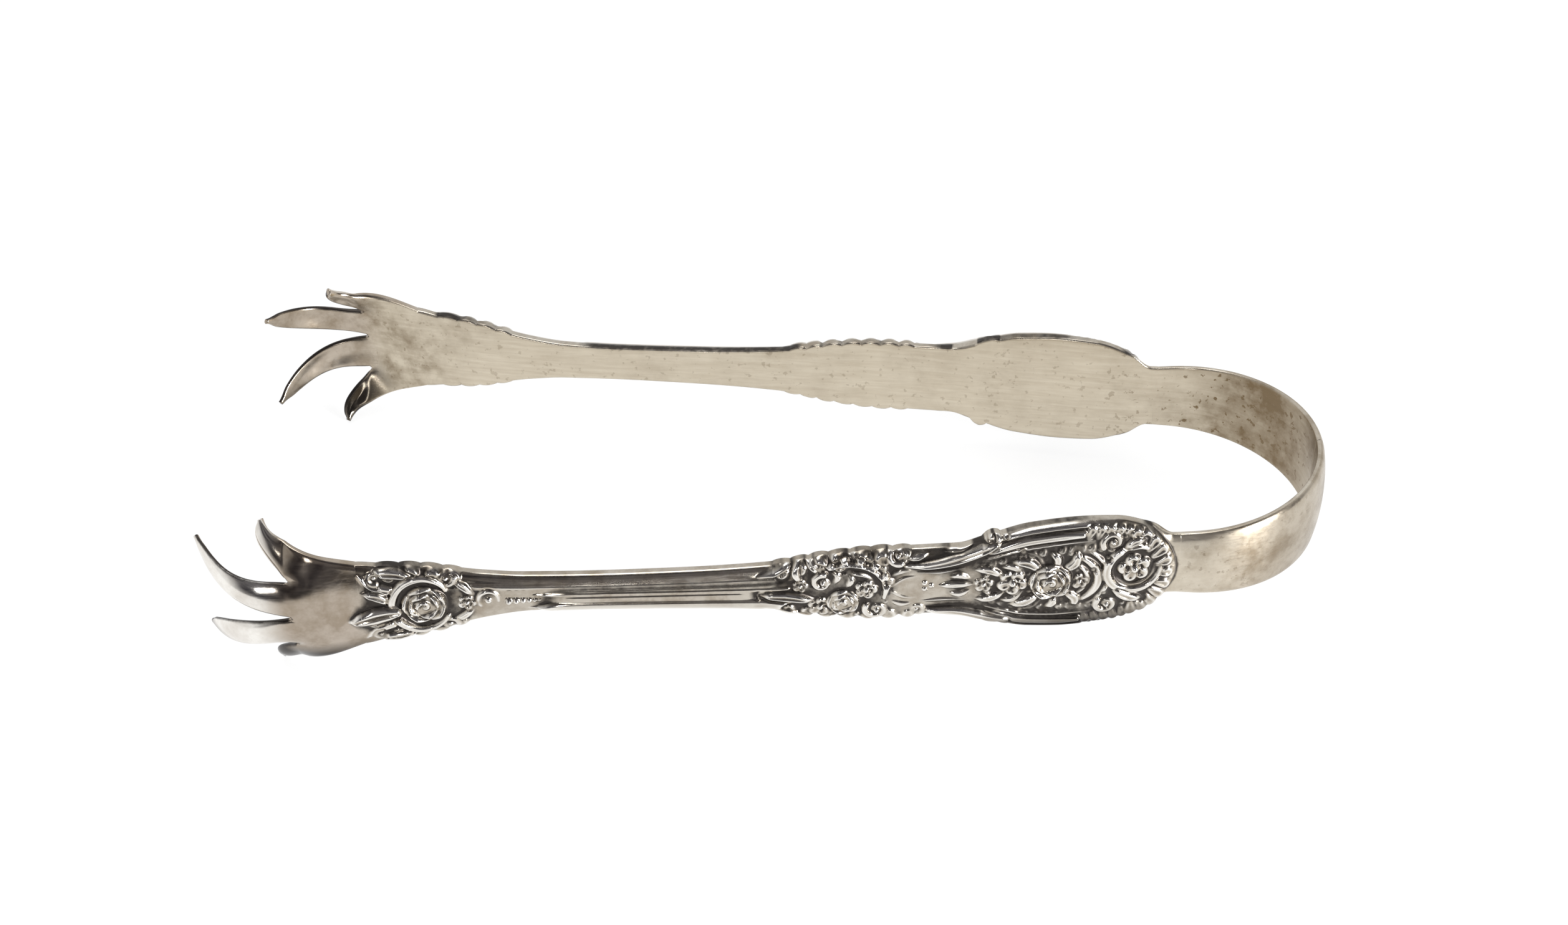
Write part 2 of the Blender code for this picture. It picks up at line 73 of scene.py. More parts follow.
CROWN_LOW, CROWN_HIGH = node_box("bow_crown")
SHOULDER_LOW, SHOULDER_HIGH = node_box("rear_bow_shoulder")
ARM_LOW, ARM_HIGH = node_box("rear_arm")
_, CLAW_HIGH = node_box("rear_claw")

CROWN_X = CROWN_HIGH[0]
MIDDLE_Z = (CROWN_LOW[2] + CROWN_HIGH[2]) / 2
CROWN_WIDTH = CROWN_HIGH[2] - CROWN_LOW[2]
SEAM_X = (SHOULDER_LOW[0] + ARM_HIGH[0]) / 2
HANDLE_WIDTH = ARM_HIGH[2] - ARM_LOW[2]
INNER_REACH = ARM_LOW[1]
ARM_LENGTH = SEAM_X - (ARM_LOW[0] + CLAW_HIGH[0]) / 2

# The bow strip bends from the crown to its two straight limbs
BOW_THICKNESS = 1.5
BOW_DEPTH = 18.5
LIMB_WIDTH = 9.5
LIMB_LENGTH = 1.5
BOW_CENTRE_X = CROWN_X - BOW_DEPTH
INNER_DEPTH = BOW_DEPTH - BOW_THICKNESS


def hermite(t, start, end, leave, arrive):
    """Reads a smooth curve between two ends, with its speed at each, at t from 0 to 1."""
    return (
        start * (2 * t**3 - 3 * t**2 + 1)
        + end * (3 * t**2 - 2 * t**3)
        + leave * (t**3 - 2 * t**2 + t)
        + arrive * (t**3 - t**2)
    )


def smooth_line(points, at):
    """Reads a smooth curve through (place, value) points. It never overshoots a point."""
    places, values = np.array(points, float).T
    rises = np.diff(values) / np.diff(places)
    before, after = rises[:-1], rises[1:]
    same_way = before * after > 0
    total = np.where(same_way, before + after, 1.0)
    inner = np.where(same_way, 2 * before * after / total, 0.0)
    slopes = np.concatenate([[0.0], inner, [0.0]])
    at = np.clip(np.asarray(at, float), places[0], places[-1])
    index = np.clip(np.searchsorted(places, at, side="right") - 1, 0, len(rises) - 1)
    width = np.diff(places)[index]
    t = (at - places[index]) / width
    leave, arrive = slopes[index] * width, slopes[index + 1] * width
    return hermite(t, values[index], values[index + 1], leave, arrive)


def smooth_step(low, high, values):
    t = np.clip((values - low) / (high - low), 0, 1)
    return t * t * (3 - 2 * t)


# Where each zone of an arm starts

KNOP_START = 27.5
STEM_START = 51.0
CUFF_START = 80.0

# How an arm leans outwards along its length, and the path that its inner face follows
HANDLE_SPLAY = math.radians(7.0)
STEM_SPLAY = math.radians(3.0)
CLAW_SPLAY = math.radians(10.0)
SLOPE_POINTS = [
    (-LIMB_LENGTH, 0.0), (2.75, math.tan(HANDLE_SPLAY)), (15.1, math.tan(HANDLE_SPLAY)),
    (STEM_START, math.tan(STEM_SPLAY)), (CUFF_START - 7.25, math.tan(STEM_SPLAY)),
    (ARM_LENGTH, math.tan(CLAW_SPLAY)),
]
PATH_PLACES = np.linspace(-LIMB_LENGTH, ARM_LENGTH + 4.0, 2000)
PATH_SLOPES = np.interp(PATH_PLACES, *np.array(SLOPE_POINTS).T)
PATH_STEP = PATH_PLACES[1] - PATH_PLACES[0]
PATH_OFFSETS = np.concatenate(
    [[0.0], np.cumsum((PATH_SLOPES[1:] + PATH_SLOPES[:-1]) / 2 * PATH_STEP)]
)


def arm_feet(places):
    """Points on the inner face of an arm on the +Y side, with the outward directions, flat."""
    slopes = np.interp(places, PATH_PLACES, PATH_SLOPES)
    feet = np.stack(
        [SEAM_X - places, INNER_REACH + np.interp(places, PATH_PLACES, PATH_OFFSETS)], -1
    )
    outward = np.stack([slopes, np.ones_like(slopes)], -1)
    return feet, outward / np.linalg.norm(outward, axis=-1, keepdims=True)


def bow_feet(angles):
    """The same for the bow strip, from the crown at angle 0 to the limb."""
    feet = np.stack(
        [BOW_CENTRE_X + INNER_DEPTH * np.cos(angles), INNER_REACH * np.sin(angles)], -1
    )
    outward = np.stack([np.cos(angles) / INNER_DEPTH, np.sin(angles) / INNER_REACH], -1)
    return feet, outward / np.linalg.norm(outward, axis=-1, keepdims=True)


# Meshes


def add_object(name, data):
    thing = bpy.data.objects.new(name, data)
    bpy.context.collection.objects.link(thing)
    return thing


def add_piece(name, points, faces, flat, material, finish):
    """Makes an object from points in millimetres, with its finish point by point.

    Its faces are smooth, but for the flat ones where it meets the next piece.
    """
    mesh = bpy.data.meshes.new(name)
    mesh.from_pydata((np.asarray(points) * MM).tolist(), [], [list(f) for f in faces])
    mesh.shade_smooth()
    for number in flat:
        mesh.polygons[number].use_smooth = False
    mesh.materials.append(material)
    for label, values in finish.items():
        attribute = mesh.attributes.new(label, "FLOAT", "POINT")
        attribute.data.foreach_set("value", np.asarray(values, np.float32).reshape(-1))
    mesh.validate()
    return add_object(name, mesh)


def loft_faces(row_count, ring_size):
    """Quads between rings of points, then a face over each end."""
    ring = np.arange(ring_size)
    after = (ring + 1) % ring_size
    faces = []
    for row in range(row_count - 1):
        base, ahead = row * ring_size, (row + 1) * ring_size
        quads = np.stack([base + ring, base + after, ahead + after, ahead + ring], -1)
        faces.extend(quads.tolist())
    faces.append(list(range(ring_size - 1, -1, -1)))
    faces.append(list(range((row_count - 1) * ring_size, row_count * ring_size)))
    return faces


def stand_up(feet, outward, levels, heights, side):
    """Points of rings whose levels and heights are rows. The rear side is the front one turned
    half round the X axis, as both arms come from one die."""
    x = feet[:, None, 0] + outward[:, None, 0] * heights
    y = feet[:, None, 1] + outward[:, None, 1] * heights
    z = MIDDLE_Z - side * levels
    return np.stack([x, side * y, z], -1).reshape(-1, 3)


# The relief of an arm's outer face


class Die:
    """Heights above the ground of the relief, in millimetres, on an even grid.

    Each stroke lies over the ones before it, with a fine groove sunk round it.
    """

    STEP = 0.07
    GROOVE = 0.17
    FULL_RADIUS = 0.48
    LEVEL_REACH = 9.8
    DOME_POWER = 0.6
    FOOT_SHARE = 0.7
    FLOWER_PETALS = 5

    def __init__(self):
        self.places = np.arange(-1.0, ARM_LENGTH + 5.0, self.STEP)
        self.levels = np.arange(-self.LEVEL_REACH, self.LEVEL_REACH, self.STEP)
        self.heights = np.zeros((len(self.places), len(self.levels)))

    def window(self, low, high):
        """The part of the grid between two corners, as slices and its coordinates."""
        rows = slice(*np.searchsorted(self.places, (low[0], high[0])))
        columns = slice(*np.searchsorted(self.levels, (low[1], high[1])))
        grid = np.meshgrid(self.places[rows], self.levels[columns], indexing="ij")
        return rows, columns, np.stack(grid, -1)

    def ridge(self, points, radii, rise, flute=0.0, base=0.0, channel=0.4):
        """Raises a rounded ridge along a curve. Radii are read evenly along it, and where the
        ridge is thin it stands lower. A flute sinks a channel along its middle, as a share of
        its rise, and the channel's half width is a share of the ridge's."""
        line, radius = through(points, radii)
        reach = radius.max() + self.GROOVE
        rows, columns, grid = self.window(line.min(0) - reach, line.max(0) + reach)
        if grid.size == 0:
            return
        closeness, beyond, wide = near_line(grid, line, radius)
        dome = np.clip(1 - closeness**2, 0, None) ** self.DOME_POWER
        dome *= 1 - flute * np.exp(-((closeness / channel) ** 2))
        lift = rise * np.minimum(1, wide / self.FULL_RADIUS)
        here = self.heights[rows, columns]
        low = np.minimum(here, self.FOOT_SHARE * base)
        groove = low + (here - low) * smooth_step(0.0, self.GROOVE, beyond)
        raised = np.maximum(base + lift * dome, low)
        self.heights[rows, columns] = np.where(closeness < 1, raised, groove)

    def bead(self, centre, radius, rise=None, base=0.0):
        self.ridge([centre, centre], [radius, radius], rise or radius, 0.0, base)

    def beads(self, spots):
        for place, level, radius in spots:
            self.bead((place, level), radius)

    def petal(self, root, angle, length, half_width, rise, base=0.0):
        """A cupped petal: narrow at its root, full and rimmed at its outer end."""
        ahead = np.array([math.cos(angle), math.sin(angle)])
        root = np.array(root)
        points = [root + ahead * 0.24 * length, root + ahead * (length - half_width)]
        self.ridge(points, [0.48 * half_width, half_width], rise, 0.75, base, 0.62)

    def flower(self, centre, radius, turn, rise, base=0.0):
        """An open flower: cupped petals round a domed eye."""
        half_width = 0.75 * math.sin(math.pi / self.FLOWER_PETALS) * radius
        for i in range(self.FLOWER_PETALS):
            angle = turn + math.tau * i / self.FLOWER_PETALS
            self.petal(centre, angle, radius, half_width, rise, base)
        self.bead(centre, 0.25 * radius, 0.5 * rise, base + 0.45 * rise)

    def rose(self, centre, radius, turn, rise):
        """A full flower: thin petal edges curl round one another on a low dome."""
        self.bead(centre, radius, 0.45 * rise)
        for reach, count, height in ((0.86, 5, 0.16), (0.58, 4, 0.34)):
            for i in range(count):
                middle = math.degrees(turn) + 360.0 * (i + reach) / count
                spread = 170.0 / count
                radii = (reach * radius, reach * radius)
                edge = [0.05 * radius, 0.13 * radius, 0.05 * radius]
                self.arc(
                    centre, radii, middle - spread, middle + spread, edge, rise, 0.0, height * rise
                )
        self.curl(centre, 0.3 * radius, 0.0, 330.0, 0.11 * radius, 0.9 * rise, 0.0, 0.45 * rise)

    def tendril(self, points, radius):
        """A thin stalk that ends in a round bud."""
        self.ridge(points, [0.5 * radius, 0.6 * radius, 0.5 * radius], 0.6)
        self.bead(points[-1], radius)

    def arc(self, centre, radius, start, end, thickness, rise, flute=0.0, base=0.0):
        """Part of an ellipse between two angles in degrees, from +place towards +level."""
        angles = np.radians(np.linspace(start, end, 25))
        points = [around(centre, radius, angle) for angle in angles]
        self.ridge(points, thickness, rise, flute, base)

    def curl(self, eye, radius, start, turn, thickness, rise, flute=0.45, base=0.0):
        """A volute that winds in from start, in degrees, by turn, and ends in a round eye."""
        shares = np.linspace(0, 1, 30)
        angles = np.radians(start + turn * shares)
        reach = radius * (1 - 0.72 * shares)
        points = np.array(eye) + np.stack([np.cos(angles), np.sin(angles)], -1) * reach[:, None]
        radii = [thickness, thickness * 0.8, thickness * 0.6]
        self.ridge(points, radii, rise, flute, base)
        self.bead(eye, 0.3 * radius, rise, base)

    def blade(self, points, half_width, rise):
        """A plain pointed leaf along a curve, with a sunk midrib."""
        shape = np.array([0.35, 0.85, 1.0, 0.75, 0.12])
        self.ridge(points, half_width * shape, rise, 0.55, 0.0, 0.22)


def around(centre, radius, angle):
    """A point of an ellipse, at an angle from +place towards +level."""
    return centre[0] + radius[0] * math.cos(angle), centre[1] + radius[1] * math.sin(angle)


def near_line(grid, line, radius):
    """For each point of a grid: its distance from a line in shares of the line's radius there,
    how far it lies beyond that radius, and the radius."""
    start, run = line[:-1], line[1:] - line[:-1]
    offset = grid[:, :, None, :] - start
    along = np.clip((offset * run).sum(-1) / ((run**2).sum(-1) + 1e-12), 0, 1)
    gap = np.linalg.norm(offset - along[..., None] * run, axis=-1)
    wide = radius[:-1] + (radius[1:] - radius[:-1]) * along
    nearest = (gap / wide).argmin(-1)[..., None]
    wide = np.take_along_axis(wide, nearest, -1)[..., 0]
    closeness = np.take_along_axis(gap, nearest, -1)[..., 0] / wide
    return closeness, (gap - wide[..., None]).min(-1), wide


def through(points, radii):
    """Points on a smooth curve through points, and a radius at each."""
    points = np.array(points, float)
    lengths = np.linalg.norm(np.diff(points, axis=0), axis=1)
    total = lengths.sum()
    if total < 1e-6:
        return points[:2], np.array([radii[0], radii[0]])
    knots = np.concatenate([[0.0], np.cumsum(lengths)]) / total
    shares = np.linspace(0, 1, max(6, int(total / 0.2)))
    if len(points) == 2:
        line = points[0] + (points[1] - points[0]) * shares[:, None]
    else:
        tangents = np.gradient(points, knots, axis=0)
        index = np.clip(np.searchsorted(knots, shares, side="right") - 1, 0, len(knots) - 2)
        width = (knots[index + 1] - knots[index])[:, None]
        t = (shares[:, None] - knots[index][:, None]) / width
        leave, arrive = tangents[index] * width, tangents[index + 1] * width
        line = hermite(t, points[index], points[index + 1], leave, arrive)
    return line, np.interp(shares, np.linspace(0, 1, len(radii)), radii)


def soften(heights, radius):
    """Averages heights over a round patch of about that radius."""
    reach = int(3 * radius / Die.STEP)
    weights = np.exp(-0.5 * (np.arange(-reach, reach + 1) * Die.STEP / radius) ** 2)
    weights /= weights.sum()
    padded = np.pad(heights, reach, mode="edge")
    once = np.apply_along_axis(np.convolve, 0, padded, weights, "valid")
    return np.apply_along_axis(np.convolve, 1, once, weights, "valid")


# The arm's outline

# Half widths at places along the arm
OUTLINE = [
    (-LIMB_LENGTH, LIMB_WIDTH / 2), (0.9, LIMB_WIDTH / 2), (3.6, 0.39 * HANDLE_WIDTH),
    (8.2, 0.485 * HANDLE_WIDTH), (13.0, 0.5 * HANDLE_WIDTH), (18.6, 0.475 * HANDLE_WIDTH),
    (23.6, 0.39 * HANDLE_WIDTH), (KNOP_START, 5.4), (38.1, 5.3), (42.8, 4.8), (STEM_START, 3.4),
    (61.0, 2.85), (72.8, 2.65), (CUFF_START, 2.85), (85.0, 3.5), (93.1, 5.4), (97.2, 5.9),
    (ARM_LENGTH, 6.4), (ARM_LENGTH + 4.0, 6.4),
]

# Where scrolls and leaves break over the edges: centre, reach along the arm, and rise
UPPER_LOBES = [
    (23.4, 1.1, 0.7), (34.2, 1.1, 0.28), (36.6, 1.3, 0.34), (39.2, 1.3, 0.28),
    (41.8, 1.3, 0.3), (44.3, 1.2, 0.34), (46.6, 1.1, 0.3), (48.8, 1.1, 0.26),
    (88.6, 1.1, 0.24), (91.0, 1.3, 0.28), (93.6, 1.3, 0.28), (96.2, 1.3, 0.26),
]
LOWER_LOBES = [
    (22.6, 1.6, 0.4), (33.4, 1.0, 0.26), (35.7, 1.2, 0.32), (38.2, 1.3, 0.28),
    (40.8, 1.3, 0.3), (43.4, 1.3, 0.32), (45.8, 1.1, 0.3), (48.0, 1.1, 0.26),
    (88.2, 1.1, 0.24), (90.6, 1.3, 0.28), (93.2, 1.3, 0.28), (95.8, 1.3, 0.26),
]


def edge_at(places):
    """Half widths of the arm without its lobes."""
    return smooth_line(OUTLINE, places)


def outline(places, lobes):
    """Half widths of the arm on the side with those lobes."""
    edge = edge_at(places)
    for centre, radius, rise in lobes:
        edge = edge + rise * np.clip(1 - ((places - centre) / radius) ** 2, 0, 1) ** 0.8
    return edge


def follow_edge(die, hand, inset, start, end, radii, rise, flute=0.0):
    """A border ridge that runs along an edge of the arm."""
    places = np.linspace(start, end, 14)
    levels = hand * (edge_at(places) - inset)
    die.ridge(np.stack([places, levels], -1), radii, rise, flute)


def strike_lobes(die):
    """A cupped petal in each lobe of the outline."""
    for hand, lobes in ((1, UPPER_LOBES), (-1, LOWER_LOBES)):
        for centre, radius, rise in lobes:
            edge = edge_at(centre)
            root = (centre, hand * (edge - 1.5 * radius))
            length = 1.5 * radius + 0.8 * rise
            die.petal(root, hand * math.pi / 2, length, 0.85 * radius, 0.75)


def strike_panel(die):
    """The handle's panel: moulded borders round a spray of flowers."""
    for hand in (-1, 1):
        follow_edge(die, hand, 0.4, 8.6, 25.5, [0.22, 0.4, 0.42, 0.3], 0.7)
        follow_edge(die, hand, 1.5, 9.4, 25.0, [0.26, 0.64, 0.66, 0.34], 0.95, 0.25)
        follow_edge(die, hand, 2.6, 11.0, 24.0, [0.14, 0.3, 0.32, 0.16], 0.75)
        for i in range(5):
            place = 6.6 + 1.15 * i
            root = (place + 0.7, hand * (edge_at(place) - 2.7))
            die.petal(root, hand * math.radians(108.0), 2.4, 0.62, 0.8)
        for i in range(14):
            place = 8.6 + 1.2 * i
            root = (place, hand * (edge_at(place) - 3.0))
            die.petal(root, -hand * math.radians(70.0), 1.35, 0.48, 0.55)
    die.arc((16.2, 0.0), (5.9, 4.4), 112.0, 248.0, [0.2, 0.6, 0.2], 0.95, 0.45)
    die.arc((16.4, 0.0), (7.4, 5.6), 132.0, 228.0, [0.16, 0.46, 0.16], 0.85)
    die.arc((16.0, 0.0), (4.4, 3.2), 120.0, 240.0, [0.14, 0.38, 0.14], 0.75)
    die.arc((17.2, 0.0), (7.2, 3.7), -50.0, 50.0, [0.16, 0.36, 0.16], 0.75)
    die.blade([(14.6, 1.7), (13.2, 2.8), (13.0, 4.4)], 0.72, 0.75)
    die.blade([(17.4, 1.9), (19.0, 3.1), (21.0, 3.4)], 0.76, 0.75)
    die.blade([(15.6, 2.2), (15.4, 3.4), (16.2, 4.5)], 0.58, 0.7)
    die.blade([(17.6, -2.1), (19.1, -3.2), (21.2, -3.5)], 0.76, 0.75)
    die.blade([(14.2, -2.0), (13.0, -3.2), (13.2, -4.5)], 0.72, 0.7)
    die.blade([(15.8, -2.5), (15.7, -3.6), (16.6, -4.5)], 0.58, 0.7)
    die.tendril([(17.2, 2.8), (18.0, 4.2), (19.6, 4.8)], 0.34)
    die.tendril([(17.2, -2.8), (18.0, -4.1), (19.7, -4.6)], 0.34)
    die.blade([(19.6, 1.6), (20.8, 2.6), (22.4, 2.6)], 0.5, 0.65)
    die.blade([(19.6, -1.5), (20.8, -2.6), (22.4, -2.7)], 0.5, 0.65)
    die.blade([(22.0, 1.2), (23.6, 2.2), (25.6, 2.3)], 0.6, 0.7)
    die.blade([(21.8, -1.4), (23.4, -2.3), (25.4, -2.5)], 0.6, 0.7)
    die.flower((12.6, -0.3), 1.2, 0.2, 0.75)
    die.flower((20.8, 0.1), 2.0, 0.9, 0.9)
    die.rose((16.2, -0.1), 2.75, 0.3, 1.2)
    die.flower((24.3, -0.1), 1.25, 0.4, 0.7)
    die.beads([(13.0, 1.5, 0.34), (18.9, 1.3, 0.32), (18.7, -1.5, 0.34), (11.0, 1.5, 0.38)])


def strike_crest(die):
    """The rounded end of the handle: a rosette in a scroll, with lobes round the rim."""
    lobes = 11
    for i in range(lobes):
        angle = math.radians(98.0 + 164.0 * i / (lobes - 1))
        root = around((6.4, 0.0), (2.7, 4.2), angle)
        ahead = math.atan2(1.25 * math.sin(angle), math.cos(angle))
        die.petal(root, ahead, 2.95, 0.82, 0.8)
    die.arc((6.0, 1.1), (3.35, 3.3), -178.0, 120.0, [0.24, 0.62, 0.62, 0.24], 1.05, 0.45)
    die.arc((6.0, 1.1), (2.55, 2.5), 165.0, 330.0, [0.12, 0.28, 0.12], 0.7)
    die.flower((5.9, 1.2), 2.15, 0.1, 0.9, 0.1)
    die.curl((8.7, 5.4), 1.35, -30.0, 380.0, 0.42, 0.9)
    die.curl((9.0, -4.6), 1.45, 40.0, -400.0, 0.44, 0.9)
    die.blade([(8.2, -2.2), (6.6, -3.4), (4.6, -4.1)], 0.8, 0.85)
    die.blade([(7.2, 4.4), (6.0, 5.2), (4.6, 5.3)], 0.6, 0.75)
    die.beads([(9.2, 3.1, 0.36), (9.4, -2.6, 0.36), (6.9, -4.8, 0.36), (7.2, 6.0, 0.34)])


def strike_waist(die):
    """Between panel and knop: sweeping scrolls on the edges and a small spray in the middle."""
    die.ridge([(26.6, 2.6), (29.4, 2.2), (32.4, 2.3)], [0.12, 0.26, 0.12], 0.6)
    die.ridge([(26.4, -2.6), (29.4, -2.3), (32.4, -2.5)], [0.12, 0.26, 0.12], 0.6)
    scroll = [(21.8, 7.0), (24.0, 5.5), (26.8, 4.3), (30.2, 3.5), (33.8, 3.4)]
    die.ridge(scroll, [0.3, 0.72, 0.78, 0.58, 0.24], 1.1, 0.45)
    die.curl((23.6, 7.0), 1.1, 200.0, -360.0, 0.4, 0.95)
    die.blade([(25.4, 6.1), (27.0, 5.5), (29.0, 5.0)], 0.48, 0.7)
    leaf = [(21.2, -6.2), (24.0, -5.7), (27.6, -4.5), (31.8, -3.9)]
    die.ridge(leaf, [0.4, 1.0, 0.72, 0.24], 1.0, 0.35, channel=0.25)
    die.curl((32.4, -3.8), 0.95, 250.0, -360.0, 0.34, 0.8)
    die.blade([(26.0, 0.9), (27.2, 1.5), (28.6, 1.2)], 0.46, 0.6)
    die.blade([(26.0, -1.0), (27.2, -1.5), (28.6, -1.2)], 0.46, 0.6)
    die.blade([(25.6, 0.0), (27.6, 0.1), (30.0, 0.0)], 0.52, 0.65)
    for i in range(3):
        angle = math.radians(60.0 + 120.0 * i)
        die.bead(around((31.2, 0.1), (0.52, 0.52), angle), 0.4)
    die.curl((34.8, 4.9), 1.2, 250.0, 380.0, 0.42, 0.9)
    die.blade([(33.6, 4.4), (32.4, 4.5), (31.0, 5.0)], 0.46, 0.65)
    for hand in (-1, 1):
        stalk = [(35.4, 0.5 * hand), (34.0, 1.5 * hand), (32.2, 1.7 * hand)]
        die.ridge(stalk, [0.3, 0.24, 0.08], 0.4)
        die.blade([(35.6, 2.0 * hand), (34.2, 2.7 * hand), (32.8, 2.6 * hand)], 0.4, 0.5)


def strike_knop(die):
    """The knop: a bold scroll over a cluster of flowers."""
    die.ridge([(46.8, 4.3), (47.2, 2.9), (46.4, 1.3)], [0.26, 0.54, 0.22], 0.8, 0.4)
    die.ridge([(48.1, 3.8), (49.6, 2.9), (51.8, 2.3)], [0.34, 0.46, 0.14], 0.8, 0.35)
    die.ridge([(45.4, -4.6), (47.8, -3.6), (50.8, -2.7)], [0.36, 0.48, 0.14], 0.8, 0.35)
    die.blade([(45.2, -1.3), (47.8, -0.7), (51.6, -0.3)], 0.8, 1.0)
    die.blade([(44.0, 2.9), (45.2, 3.9), (45.6, 5.0)], 0.56, 0.7)
    die.blade([(42.4, 1.2), (42.0, 2.4), (42.9, 3.0)], 0.46, 0.6)
    scroll = [(36.4, -1.4), (36.2, 1.4), (38.0, 3.7), (41.0, 4.3), (44.0, 3.2)]
    die.ridge(scroll, [0.26, 0.62, 0.72, 0.6, 0.24], 1.15, 0.45)
    for i in range(6):
        angle = math.radians(40.0 + 26.0 * i)
        root = around((40.4, 0.4), (4.0, 3.9), angle)
        die.petal(root, angle, 1.3, 0.5, 0.7)
    die.arc((40.3, 0.6), (2.7, 2.0), 60.0, 160.0, [0.12, 0.3, 0.12], 0.7)
    die.curl((43.9, 1.4), 1.25, 100.0, -380.0, 0.42, 0.95)
    die.curl((37.3, -3.4), 1.5, 30.0, -400.0, 0.46, 0.95)
    die.flower((38.6, 0.1), 1.5, 0.6, 0.85)
    die.flower((44.2, -2.6), 1.65, 0.5, 0.8)
    die.rose((41.4, -1.9), 2.1, 0.2, 1.15)
    die.flower((46.6, 0.9), 1.0, 0.6, 0.7)
    die.blade([(41.0, 0.6), (40.4, 1.5), (40.6, 2.5)], 0.44, 0.65)
    die.beads([(39.7, -4.2, 0.42), (42.6, -4.3, 0.36), (36.2, -2.2, 0.34)])


STEM_SLOPE = 0.62


def on_stem(places, before, after):
    """1 on the stem. It rises from the first place to the second one, and falls after the stem."""
    return smooth_step(*before, places) * (1 - smooth_step(*after, places))


def strike_stem(die):
    """The plain stem: a face that slopes up to one round reed, with threads along it."""
    share = die.levels[None, :] / edge_at(die.places)[:, None]
    before, after = (STEM_START - 4.0, STEM_START), (CUFF_START - 6.0, CUFF_START - 1.0)
    along = on_stem(die.places, before, after)
    slope = np.clip((0.8 - share) / 1.2, 0, 1) * smooth_step(-1.0, -0.5, share)
    die.heights += STEM_SLOPE * slope * along[:, None]
    places = np.linspace(STEM_START - 3.0, CUFF_START, 30)
    edge = edge_at(places)
    before, after = (STEM_START - 4.5, STEM_START - 1.5), (CUFF_START - 4.0, CUFF_START - 0.5)
    fade = on_stem(places, before, after)
    die.ridge(np.stack([places, -0.55 * edge], -1), 0.28 * edge * fade + 0.02, 0.45, base=0.42)
    die.ridge(np.stack([places, 0.16 * edge], -1), 0.07 * edge * fade + 0.02, 0.12, base=0.3)
    places = np.linspace(STEM_START - 4.0, CUFF_START + 10.0, 36)
    edge = edge_at(places)
    die.ridge(np.stack([places, 0.56 * edge], -1), 0.1 * edge + 0.05, 0.16, base=0.08)
    die.ridge(np.stack([places, -0.9 * edge], -1), 0.08 * edge + 0.05, 0.2)


def strike_cuff(die):
    """The cuff: graduated beads, little flowers, a boss in a ring, and leaves over the claw."""
    place, radius = 78.4, 0.26
    while place < 83.0:
        die.bead((place, -0.3), radius, 0.3 + radius)
        place += 2.2 * radius
        radius += 0.04
    die.blade([(86.4, -1.0), (87.6, -2.2), (89.4, -3.2)], 0.56, 0.7)
    die.blade([(86.4, 1.1), (87.4, 2.3), (88.8, 3.4)], 0.56, 0.7)
    die.arc((84.6, 0.1), (1.25, 1.35), -40.0, 190.0, [0.2, 0.36, 0.2], 0.8, 0.35)
    die.bead((84.6, 0.0), 0.46, 0.5)
    die.flower((87.2, -0.1), 1.2, 0.8, 0.75)
    die.curl((89.5, 3.7), 1.05, 180.0, 380.0, 0.38, 0.85)
    die.curl((89.5, -3.6), 1.05, 180.0, -380.0, 0.38, 0.85)
    for hand in (-1, 1):
        die.blade([(93.6, 4.4 * hand), (95.6, 5.0 * hand), (98.6, 5.2 * hand)], 0.8, 0.85)
        leaf = [(95.0, 2.6 * hand), (97.0, 2.9 * hand), (98.8, 4.0 * hand), (99.8, 5.0 * hand)]
        die.ridge(leaf, [0.34, 0.62, 0.56, 0.14], 0.95, 0.45)
        die.curl((98.0, 4.6 * hand), 0.95, -100.0 * hand, 330.0 * hand, 0.34, 0.8)
        die.blade([(96.3, 0.9 * hand), (98.2, 2.2 * hand), (99.6, 2.6 * hand)], 0.72, 0.85)
    die.arc((92.7, 0.0), (3.6, 4.1), -150.0, 150.0, [0.26, 0.5, 0.56, 0.5, 0.26], 1.1, 0.4)
    die.blade([(95.4, -0.7), (98.4, -1.0), (101.4, -1.6)], 1.45, 1.0)
    die.rose((92.4, 0.0), 2.85, 0.3, 1.1)


# Assembling the arm's outer face

EDGE_THICKNESS = 1.25
PALM_THICKNESS = 1.1

# How high the relief stands, how soft its edges are, and how far a recess or a busy part reaches
RELIEF_SCALE = 0.85
EDGE_SOFTNESS = 0.105
RECESS_REACH = 0.4
BUSY_REACH = 1.2

# How thick the arm is along its middle, at places along it
GROUND = [
    (-LIMB_LENGTH, BOW_THICKNESS), (0.4, BOW_THICKNESS), (2.0, 1.9), (12.0, 2.15), (20.0, 2.05),
    (KNOP_START, 1.75), (38.1, 1.95), (STEM_START, 1.9), (CUFF_START, 1.85), (92.0, 1.75),
    (ARM_LENGTH, PALM_THICKNESS), (ARM_LENGTH + 4.0, PALM_THICKNESS),
]

# The handle's end lies over the strip in a rounded point, and stands a step above it
TIP_PLACE = 0.35
TIP_BEND = 0.082
TIP_STEP = 0.12

# The rows of an arm's outer face, close together in the relief and wide apart on the stem, as
# first place, last place and step. Then how many columns it has, and rows and columns of the bow.
FACE_ZONES = [(0.1, 52.0, 0.115), (52.0, 77.5, 1.0), (77.5, ARM_LENGTH - 0.1, 0.12)]
FACE_COLUMNS = 127
STRIP_ROWS = 150
STRIP_COLUMNS = 44


